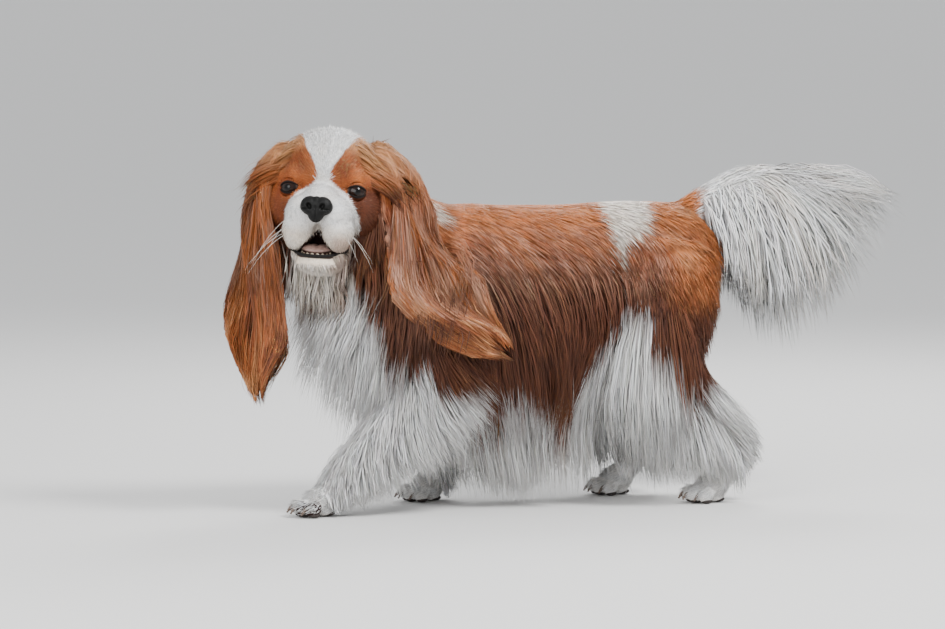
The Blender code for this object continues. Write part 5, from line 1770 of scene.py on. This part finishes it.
def throat_coat(tint):
    """Longer hair from under the cheeks and the jaw's root, hanging before the neck."""
    x, y, z = place(BUILD["middles"], HEAD_BACK).T
    chance = label_chance("head") * clear_of_features() * (z < -0.016) * (y > -0.02) * (y < 0.05)
    chance = chance * np.maximum(step(np.abs(x), 0.02, 0.034), step(-z, 0.046, 0.056))

    def lengths(roots, normals, owners):
        hx, _, hz = place(roots, HEAD_BACK).T
        return 0.056 + 0.032 * step(0.012 - hx, 0, 0.02) * step(-hz, 0.028, 0.045)

    return grow(
        "coat_throat", chance, lengths, 0.0018, 3, 119, tint, ("head",), lift=0.22, every=11, strength=0.36,
        curl=0.003, lay=sunward, lie=lambda p, n, o: tangent(np.array([[-0.05, 0.05, -1.0]]) + 0 * p, n),
        last=hanging(-0.12, 0.05),
    )


def lie_of_head(roots, normals, owners):
    """The lie of the face: up and back over the brow, back and down over the cheeks and muzzle."""
    head = place(roots, HEAD_BACK)
    turned = normals @ np.array(HEAD.to_3x3().inverted()).T
    away = head - np.array([0, -0.082, -0.012])
    low = step(-head[:, 2], 0.0, 0.03)[:, None]
    lie = unit(away) + np.array([0, 0.1, 0]) - np.array([0, 0, 0.9]) * low
    crown = step(head[:, 2], 0.035, 0.055)[:, None]
    outward = np.zeros_like(head)
    outward[:, 0] = np.sign(head[:, 0]) * 0.55 * step(np.abs(head[:, 0]), 0.005, 0.03)
    lie = lie * (1 - crown) + np.array([0, 0.95, 0.12]) * crown + outward * crown
    return tangent(lie, turned) @ HEAD_TURN.T


def head_lengths(roots, normals, owners):
    x, y, z = place(roots, HEAD_BACK).T
    made = np.interp(y, [-0.075, -0.045, -0.015, 0.02, 0.06], [0.0035, 0.006, 0.0085, 0.0125, 0.019])
    made = made + 0.004 * step(z, 0.04, 0.055)
    near_eye = np.linalg.norm(np.stack([np.abs(x) - 0.0345, y + 0.03, z], 1), axis=1)
    return made * (0.45 + 0.55 * step(near_eye, 0.012, 0.026))


def clear_of_features():
    """Less hair on the nose's seat and none inside the mouth or the eyes' sockets."""
    head = place(BUILD["middles"], HEAD_BACK)
    x, y, z = head.T
    nose = ((x / 0.0158) ** 2 + ((z + 0.0185) / 0.012) ** 2 > 1) | (y > -0.06)
    nose &= ((x / 0.0085) ** 2 + ((z + 0.027) / 0.0075) ** 2 > 1) | (y > -0.06)
    mouth = ~((z < -0.04) & (np.abs(x) < (-0.04 - z) * 0.78 + 0.0006) & (y < -0.028))
    open_eye = np.ones(len(x), bool)
    for side in (1, -1):
        ahead, radial = off_sight(head, eye_centre(side), gaze(side))
        open_eye &= ~((radial < 0.0104) & (ahead > -0.006))
    return nose & mouth & open_eye


def face_coat(tint):
    """The face's short hair, thicker and finer towards the muzzle."""
    fine = 1 + 1.6 * step(-place(BUILD["middles"], HEAD_BACK)[:, 1], 0.01, 0.045)
    chance = label_chance("head") * clear_of_features() * fine
    return short_coat("coat_face", chance, head_lengths, 0.0014, 101, tint, lie_of_head, ("head",),
                      lift=0.18)


def lid_coat(lid, side, tint):
    """Short hair from the lid's outer part, laid away from the eye."""
    surface = surface_of(lid)
    look = HEAD.to_3x3() @ gaze(side)
    centre = np.array(HEAD @ eye_centre(side))
    outward = (surface["normals"] * (surface["points"] - centre)).sum(1)
    surface["normals"] = surface["normals"] * np.where(outward < 0, -1, 1)[:, None]
    away = surface["middles"] - centre
    _, radial = off_sight(surface["middles"], centre, look)
    up = np.array(HEAD.to_3x3() @ Vector((0, 0, 1)))
    tall = (away @ up) / np.maximum(radial, 0.001)
    outer = (np.linalg.norm(away, axis=1) > EYE_RADIUS) & (radial > 0.0106 - 0.0032 * np.abs(tall))

    def lie(roots, normals, owners):
        way = roots - centre
        way = way - (way @ np.array(look))[:, None] * np.array(look)
        return tangent(unit(way) + np.array([0, 0, 0.35]), normals)

    return short_coat(f"coat_{lid.name}", outer.astype(float), same(0.0058), 0.0011, 105 + side, tint, lie,
                      ("head",), lift=0.1, surface=surface)


def head_fringe(tint):
    """Longer soft hair on the crown, the cheeks' rear edge and the ears' roots."""
    head = place(BUILD["middles"], HEAD_BACK)
    chance = label_chance("head") * clear_of_features() * step(head[:, 1], -0.02, 0.01)
    return grow(
        "coat_crown", chance, lambda p, n, o: head_lengths(p, n, o) * 1.5, 0.0015, 2, 111, tint, ("head",),
        lift=0.2, drop=0.1, every=10, strength=0.3, curl=0.001, lie=lie_of_head, gap=0.0008, tip=1.04,
    )


def temple_coat(tint):
    """Soft hair from the sides of the skull out over the ears' roots."""
    x, y, z = place(BUILD["middles"], HEAD_BACK).T
    chance = label_chance("head") * (z > 0.006) * step(np.abs(x), 0.02, 0.044) * (y > -0.024) * (y < 0.04)

    def sideways(roots, out, back, down):
        hx = place(roots, HEAD_BACK)[:, 0]
        return np.stack([np.sign(hx) * out, back + 0 * hx, down + 0 * hx], 1) @ HEAD_TURN.T

    def lengths(roots, normals, owners):
        hx = place(roots, HEAD_BACK)[:, 0]
        return 0.014 + 0.022 * step(np.abs(hx), 0.024, 0.044) + 0.018 * (0.5 + 0.5 * ripple(roots, 0.012, 31))

    return grow(
        "coat_temples", chance, lengths, 0.0016, 3, 115, tint, ("head",), lift=0.3, every=10, strength=0.26,
        curl=0.0018, lie=lambda p, n, o: tangent(sideways(p, 0.9, 0.3, -0.35), n),
        last=lambda p, n, lie: sideways(p, 0.75, 0.15, -1.0), tip=1.04,
    )


def chin_coat(jaw, tint):
    """Soft cream hair on the lower jaw, below its lip."""
    surface = surface_of(jaw)
    x, _, z = place(surface["middles"], HEAD_BACK).T
    low = z < lip_edge(x, -0.0684)
    return grow(
        "coat_chin", low.astype(float), same(0.0115), 0.0012, 2, 117, tint, ("head",), lift=0.2, every=9,
        strength=0.15, curl=0.0006, surface=surface, cluster=0.4,
        lie=lambda p, n, o: tangent(np.array([[0.35, 0.15, -1.0]]) + 0 * p, n), last=toward(0.3, 0.05, -1.0),
    )


def lie_of_paw(roots, normals, owners):
    """The lie of a paw's hair: outwards from above its middle, and forwards."""
    names = named(owners)
    lie = np.zeros_like(roots)
    for name, (x, y) in PAWS.items():
        mine = names == name
        away = roots[mine] - np.array([x + 0.012, y, 0.02])
        lie[mine] = unit(away * np.array([1, 1, 0.2])) + np.array([-0.5, 0, -0.35])
    return tangent(lie, normals)


def paw_coat(tint):
    """Short hair on the paws, above their pads."""
    chance = label_chance("forepaw", "hindpaw") * (BUILD["middles"][:, 2] > 0.006)
    return short_coat("coat_paws", chance, by_height([0.006, 0.03], [0.0055, 0.012]), 0.0013, 121, tint,
                      lie_of_paw, ("forepaw", "hindpaw"), lift=0.26)


def leather_coat(name, tint, seed):
    """Short hair over an ear's leather, so that none of it shows bare."""
    label = f"ear_{name}"
    return short_coat(f"coat_ear_base_{name}", label_chance(label), same(0.02), 0.0016, seed, tint,
                      lambda p, n, o: tangent(run_of(label, p), n), (label,), lift=0.12)


def tail_coat(tint):
    """The tail bone's own hair."""
    return grow("coat_tail_bone", label_chance("tail"), same(0.03), 0.0024, 2, 201, tint, ("tail",),
                lift=0.3, every=8, strength=0.4, lie=lambda p, n, o: tangent(run_of("tail", p), n))


# Settings and operators

def colour_setting(label, note, code):
    """A colour of the model as a property."""
    return bpy.props.FloatVectorProperty(
        name=label, description=note, subtype="COLOR", size=4, default=(*hex_colour(code), 1))


class SPANIEL_PG_coat(bpy.types.PropertyGroup):
    """Colours of the coat, several of which also carry painted light and shade."""
    # Lit also stands for painted light on the back and rump, besides the bright end of the coat's own tones
    lit: colour_setting("Chestnut, lit", "Bright chestnut of the back and ears", "#BE6833")
    mid: colour_setting("Chestnut", "Main chestnut of the coat", "#8A411D")
    # Dark also stands for painted shade on the lower flank, the head's lower sides and between the ears'
    # locks
    dark: colour_setting("Chestnut, dark", "Dark chestnut of the cheeks and lower flank", "#4A2314")
    # Pale stands for painted light on the tops of the back, head and ears and painted highlights on the ears'
    # ends and rump
    pale: colour_setting("Chestnut, pale", "Sun-bleached tips and brow", "#DC9A63")
    # Sheen stands for a painted sheen on the upper flank and the ears, and also tints the white of the near
    # lower flew
    sheen: colour_setting("Chestnut, sheen", "Greyish rose of the glossy flank and ears", "#AD7F68")
    white: colour_setting("White", "White of the blaze, legs and tail", "#FBFAF8")
    cream: colour_setting("Cream", "Cream tinge of the white hair on the throat", "#EEDDC8")


class SPANIEL_PG_sizes(bpy.types.PropertyGroup):
    """How much hair there is, and the eyes' colour."""
    density: bpy.props.FloatProperty(
        name="Density", description="Share of the full number of tufts", default=1.0, min=0.05, max=1.0,
        subtype="FACTOR")
    iris: colour_setting("Iris", "Colour of the iris", "#1F100A")


def tint_of(context):
    """The coat's own colours, linear, from the settings."""
    colours = context.scene.spaniel_coat
    return {name: np.array(getattr(colours, name)[:3])[None] for name in TINTS}


def look_from(obj, spot, way):
    """Places a lamp or camera and points it."""
    obj.location = spot
    obj.rotation_euler = way.to_track_quat("-Z", "Y").to_euler()


class SPANIEL_OT_skin(bpy.types.Operator):
    """One skin for the whole dog, under its coat"""
    bl_idname = "spaniel.skin"
    bl_label = "Skin"

    def execute(self, context):
        obj = make_skin()
        points, labels = BUILD["points"], BUILD["labels"]
        colours = coat_shade(points, labels, tint_of(context)) * 0.92
        head = place(points, HEAD_BACK)
        x, y, z = head.T
        mouth = (z < MOUTH_TOP) & (np.abs(x) < (MOUTH_TOP - z) * 0.78 + 0.0012) & (y < -0.026) & (y > -0.092)
        mouth &= (y > -0.066) | (np.abs(x) < (MOUTH_TOP - z) * 0.72)
        colours[mouth] = hex_colour("#2A0F0C")
        for side in (1, -1):
            ahead, radial = off_sight(head, eye_centre(side), gaze(side))
            colours[(radial < 0.0096) & (ahead > -0.004)] = hex_colour("#1B110D")
        add_colours(obj.data, colours, np.ones(len(points)))
        write_unwrap(obj.data, bake_places(points, labels, BUILD["names"])[corner_vertices(obj.data)])
        parts = ("ear", "foreleg", "hindleg", "forepaw", "hindpaw")
        pairs = [f"{part}_{side}" for side in SIDES for part in parts]
        settle(obj, skin_material(), "torso", "neck", "head", "tail", *pairs, slot=COAT_SLOT)
        return {"FINISHED"}


class SPANIEL_OT_eyes(bpy.types.Operator):
    """Both eyes and their lids"""
    bl_idname = "spaniel.eyes"
    bl_label = "Eyes and lids"

    def execute(self, context):
        tint = tint_of(context)
        iris = np.array(context.scene.spaniel_sizes.iris[:3])
        wet = painted_material("eye_cornea", 0.1, 1.376, "eye", coat=0.1, grain=900.0, gloss=0.3)
        edge = painted_material("lid_leather", 0.8, 1.3, "lid")
        for name, side in HEAD_SIDES.items():
            eye = eyeball(f"eye_ball_{name}", side, iris, hex_colour("#030202"))
            settle(eye, wet, f"eye_{name}", slot="eye")
            lid = lids(f"lids_{name}", side, tint)
            settle(lid_coat(lid, side, tint), hair(), slot=COAT_SLOT)
            settle(lid, edge, slot=LEATHER_SLOT)
        return {"FINISHED"}


class SPANIEL_OT_mouth(bpy.types.Operator):
    """Nose, jaw with its lip and chin hair, tongue and teeth"""
    bl_idname = "spaniel.mouth"
    bl_label = "Nose and mouth"

    def execute(self, context):
        tint = tint_of(context)
        nose = leather_material("nose_leather_moist", "#070706", 0.5, 0.0011, 0.00035, gloss=0.22)
        settle(nose_pad(), nose, "nose", slot=LEATHER_SLOT)
        jaw = jaw_piece(tint)
        settle(chin_coat(jaw, tint), hair(), slot=WHITE_SLOT)
        settle(jaw, painted_material("lip_and_chin", 0.6, 1.3, "mouth"), "jaw", slot=WHITE_SLOT)
        # The tongue's own pink, greyed with painted shade from inside the mouth
        pink = leather_material("tongue_moist", "#83685F", 0.42, 0.0007, 0.00015, coat=0.2)
        settle(tongue_piece(), pink, "tongue", slot="tongue")
        settle(teeth_piece(), plain_material("tooth_enamel", "#9C8F7B", 0.3, 1.62), slot=WHITE_SLOT)
        return {"FINISHED"}


class SPANIEL_OT_feet(bpy.types.Operator):
    """Claws and pads"""
    bl_idname = "spaniel.feet"
    bl_label = "Claws and pads"

    def execute(self, context):
        claws, pads = claws_and_pads()
        horn = leather_material("claw_horn", "#5B4A3E", 0.32, 0.002, 0.00005, coat=0.2)
        settle(claws, horn, slot=LEATHER_SLOT)
        settle(pads, leather_material("pad_leather", "#2B2320", 0.7, 0.0014, 0.0003), slot=LEATHER_SLOT)
        return {"FINISHED"}


class SPANIEL_OT_whiskers(bpy.types.Operator):
    """Whiskers on the muzzle"""
    bl_idname = "spaniel.whiskers"
    bl_label = "Whiskers"

    def execute(self, context):
        white = plain_material("whisker_keratin", "#EFE9DF", 0.4, 1.55)
        obj = run_group(whiskers(), whisker_tree(), {"Root radius": 0.00022, "Sides": 6}, white)
        settle(obj, white, slot=WHITE_SLOT)
        return {"FINISHED"}


class SPANIEL_OT_coat_head(bpy.types.Operator):
    """The face's short tufts and the crown's longer ones"""
    bl_idname = "spaniel.coat_head"
    bl_label = "Coat of the head"

    def execute(self, context):
        tint = tint_of(context)
        for obj in (face_coat(tint), head_fringe(tint), temple_coat(tint), throat_coat(tint)):
            settle(obj, hair(), slot=COAT_SLOT)
        return {"FINISHED"}


class SPANIEL_OT_coat_ears(bpy.types.Operator):
    """The ears' wavy tresses"""
    bl_idname = "spaniel.coat_ears"
    bl_label = "Coat of the ears"

    def execute(self, context):
        tint = tint_of(context)
        for seed, name in enumerate(HEAD_SIDES):
            settle(ear_coat(name, 131 + seed, tint), hair(), slot=COAT_SLOT)
            settle(leather_coat(name, tint, 141 + seed), hair(), slot=COAT_SLOT)
        return {"FINISHED"}


class SPANIEL_OT_coat_body(bpy.types.Operator):
    """The body's lying coat, the bib, the rump and the belly's fringe"""
    bl_idname = "spaniel.coat_body"
    bl_label = "Coat of the body"

    def execute(self, context):
        tint = tint_of(context)
        made = [body_coat("left", 151, tint), body_coat("right", 152, tint), bib_coat(tint), rump_coat(tint),
                *fringe_coat("left", tint), *fringe_coat("right", tint)]
        for obj in made:
            settle(obj, hair(), slot=COAT_SLOT)
        return {"FINISHED"}


class SPANIEL_OT_coat_legs(bpy.types.Operator):
    """The legs' coat and feather, and the paws' short hair"""
    bl_idname = "spaniel.coat_legs"
    bl_label = "Coat of the legs"

    def execute(self, context):
        tint = tint_of(context)
        made = [paw_coat(tint)]
        for seed, side in enumerate(SIDES):
            made += leg_coat("foreleg", side, tint, 161 + 10 * seed)
            made += leg_coat("hindleg", side, tint, 181 + 10 * seed)
        for obj in made:
            settle(obj, hair(), slot=WHITE_SLOT)
        return {"FINISHED"}


class SPANIEL_OT_coat_tail(bpy.types.Operator):
    """The tail's plume"""
    bl_idname = "spaniel.coat_tail"
    bl_label = "Coat of the tail"

    def execute(self, context):
        tint = tint_of(context)
        for obj in (tail_coat(tint), plume_coat(202, tint)):
            settle(obj, hair(), slot=WHITE_SLOT)
        return {"FINISHED"}


class SPANIEL_OT_stage(bpy.types.Operator):
    """Floor, soft studio light and the camera at the photograph's angle"""
    bl_idname = "spaniel.stage"
    bl_label = "Stage"

    def execute(self, context):
        scene = context.scene
        bm = bmesh.new()
        # So wide that its edge lies beyond the picture at the camera's low angle, from any side
        corners = ((-FLOOR_HALF, -FLOOR_HALF), (FLOOR_HALF, -FLOOR_HALF), (FLOOR_HALF, FLOOR_HALF),
                   (-FLOOR_HALF, FLOOR_HALF))
        bm.faces.new([bm.verts.new((x, y, 0)) for x, y in corners])
        floor = from_bmesh("studio_floor", bm)
        floor.data.materials.append(plain_material("studio_paper", "#D9D8D6", 0.9, 1.45))
        world = bpy.data.worlds.new("studio")
        world.use_nodes = True
        sky = world.node_tree.nodes["Background"]
        sky.inputs["Color"].default_value = (*hex_colour("#E9EBEE"), 1)
        sky.inputs["Strength"].default_value = 1.2
        scene.world = world
        for name, spot, size, power in LAMPS:
            light = bpy.data.lights.new(name, "AREA")
            light.shape = "DISK"
            light.size = size
            light.energy = power
            look_from(link(name, light), Vector(spot), Vector((0, 0, 0.2)) - Vector(spot))
        turn, rise = math.radians(CAMERA_TURN), math.radians(CAMERA_RISE)
        back = Vector((math.sin(turn) * math.cos(rise), -math.cos(turn) * math.cos(rise), math.sin(rise)))
        right = Vector((math.cos(turn), math.sin(turn), 0))
        target = right * LOOK_AT[0] + back.cross(right) * LOOK_AT[1] + SHIFT
        camera = bpy.data.cameras.new("camera")
        camera.sensor_width = SENSOR
        camera.lens = SENSOR * CAMERA_FAR / FRAME_WIDE
        scene.camera = link("camera", camera)
        look_from(scene.camera, target + back * CAMERA_FAR, -back)
        return {"FINISHED"}


OPERATORS = (SPANIEL_OT_skin, SPANIEL_OT_eyes, SPANIEL_OT_mouth, SPANIEL_OT_feet, SPANIEL_OT_whiskers,
             SPANIEL_OT_coat_head, SPANIEL_OT_coat_ears, SPANIEL_OT_coat_body, SPANIEL_OT_coat_legs,
             SPANIEL_OT_coat_tail, SPANIEL_OT_stage)


class SPANIEL_PT_panel(bpy.types.Panel):
    """Lists the dog's settings and the operators that build it"""
    bl_idname = "SPANIEL_PT_panel"
    bl_label = "Spaniel"
    bl_space_type = "VIEW_3D"
    bl_region_type = "UI"
    bl_category = "Spaniel"

    def draw(self, context):
        for name in TINTS:
            self.layout.prop(context.scene.spaniel_coat, name)
        for name in ("iris", "density"):
            self.layout.prop(context.scene.spaniel_sizes, name)
        for operator in OPERATORS:
            self.layout.operator(operator.bl_idname)


CLASSES = (SPANIEL_PG_coat, SPANIEL_PG_sizes, *OPERATORS, SPANIEL_PT_panel)


def register():
    for item in CLASSES:
        bpy.utils.register_class(item)
    bpy.types.Scene.spaniel_coat = bpy.props.PointerProperty(type=SPANIEL_PG_coat)
    bpy.types.Scene.spaniel_sizes = bpy.props.PointerProperty(type=SPANIEL_PG_sizes)


def unregister():
    del bpy.types.Scene.spaniel_coat
    del bpy.types.Scene.spaniel_sizes
    for item in reversed(CLASSES):
        bpy.utils.unregister_class(item)


def main():
    register()
    for operator in OPERATORS:
        group, name = operator.bl_idname.split(".")
        getattr(getattr(bpy.ops, group), name)()


if __name__ == "__main__":
    main()
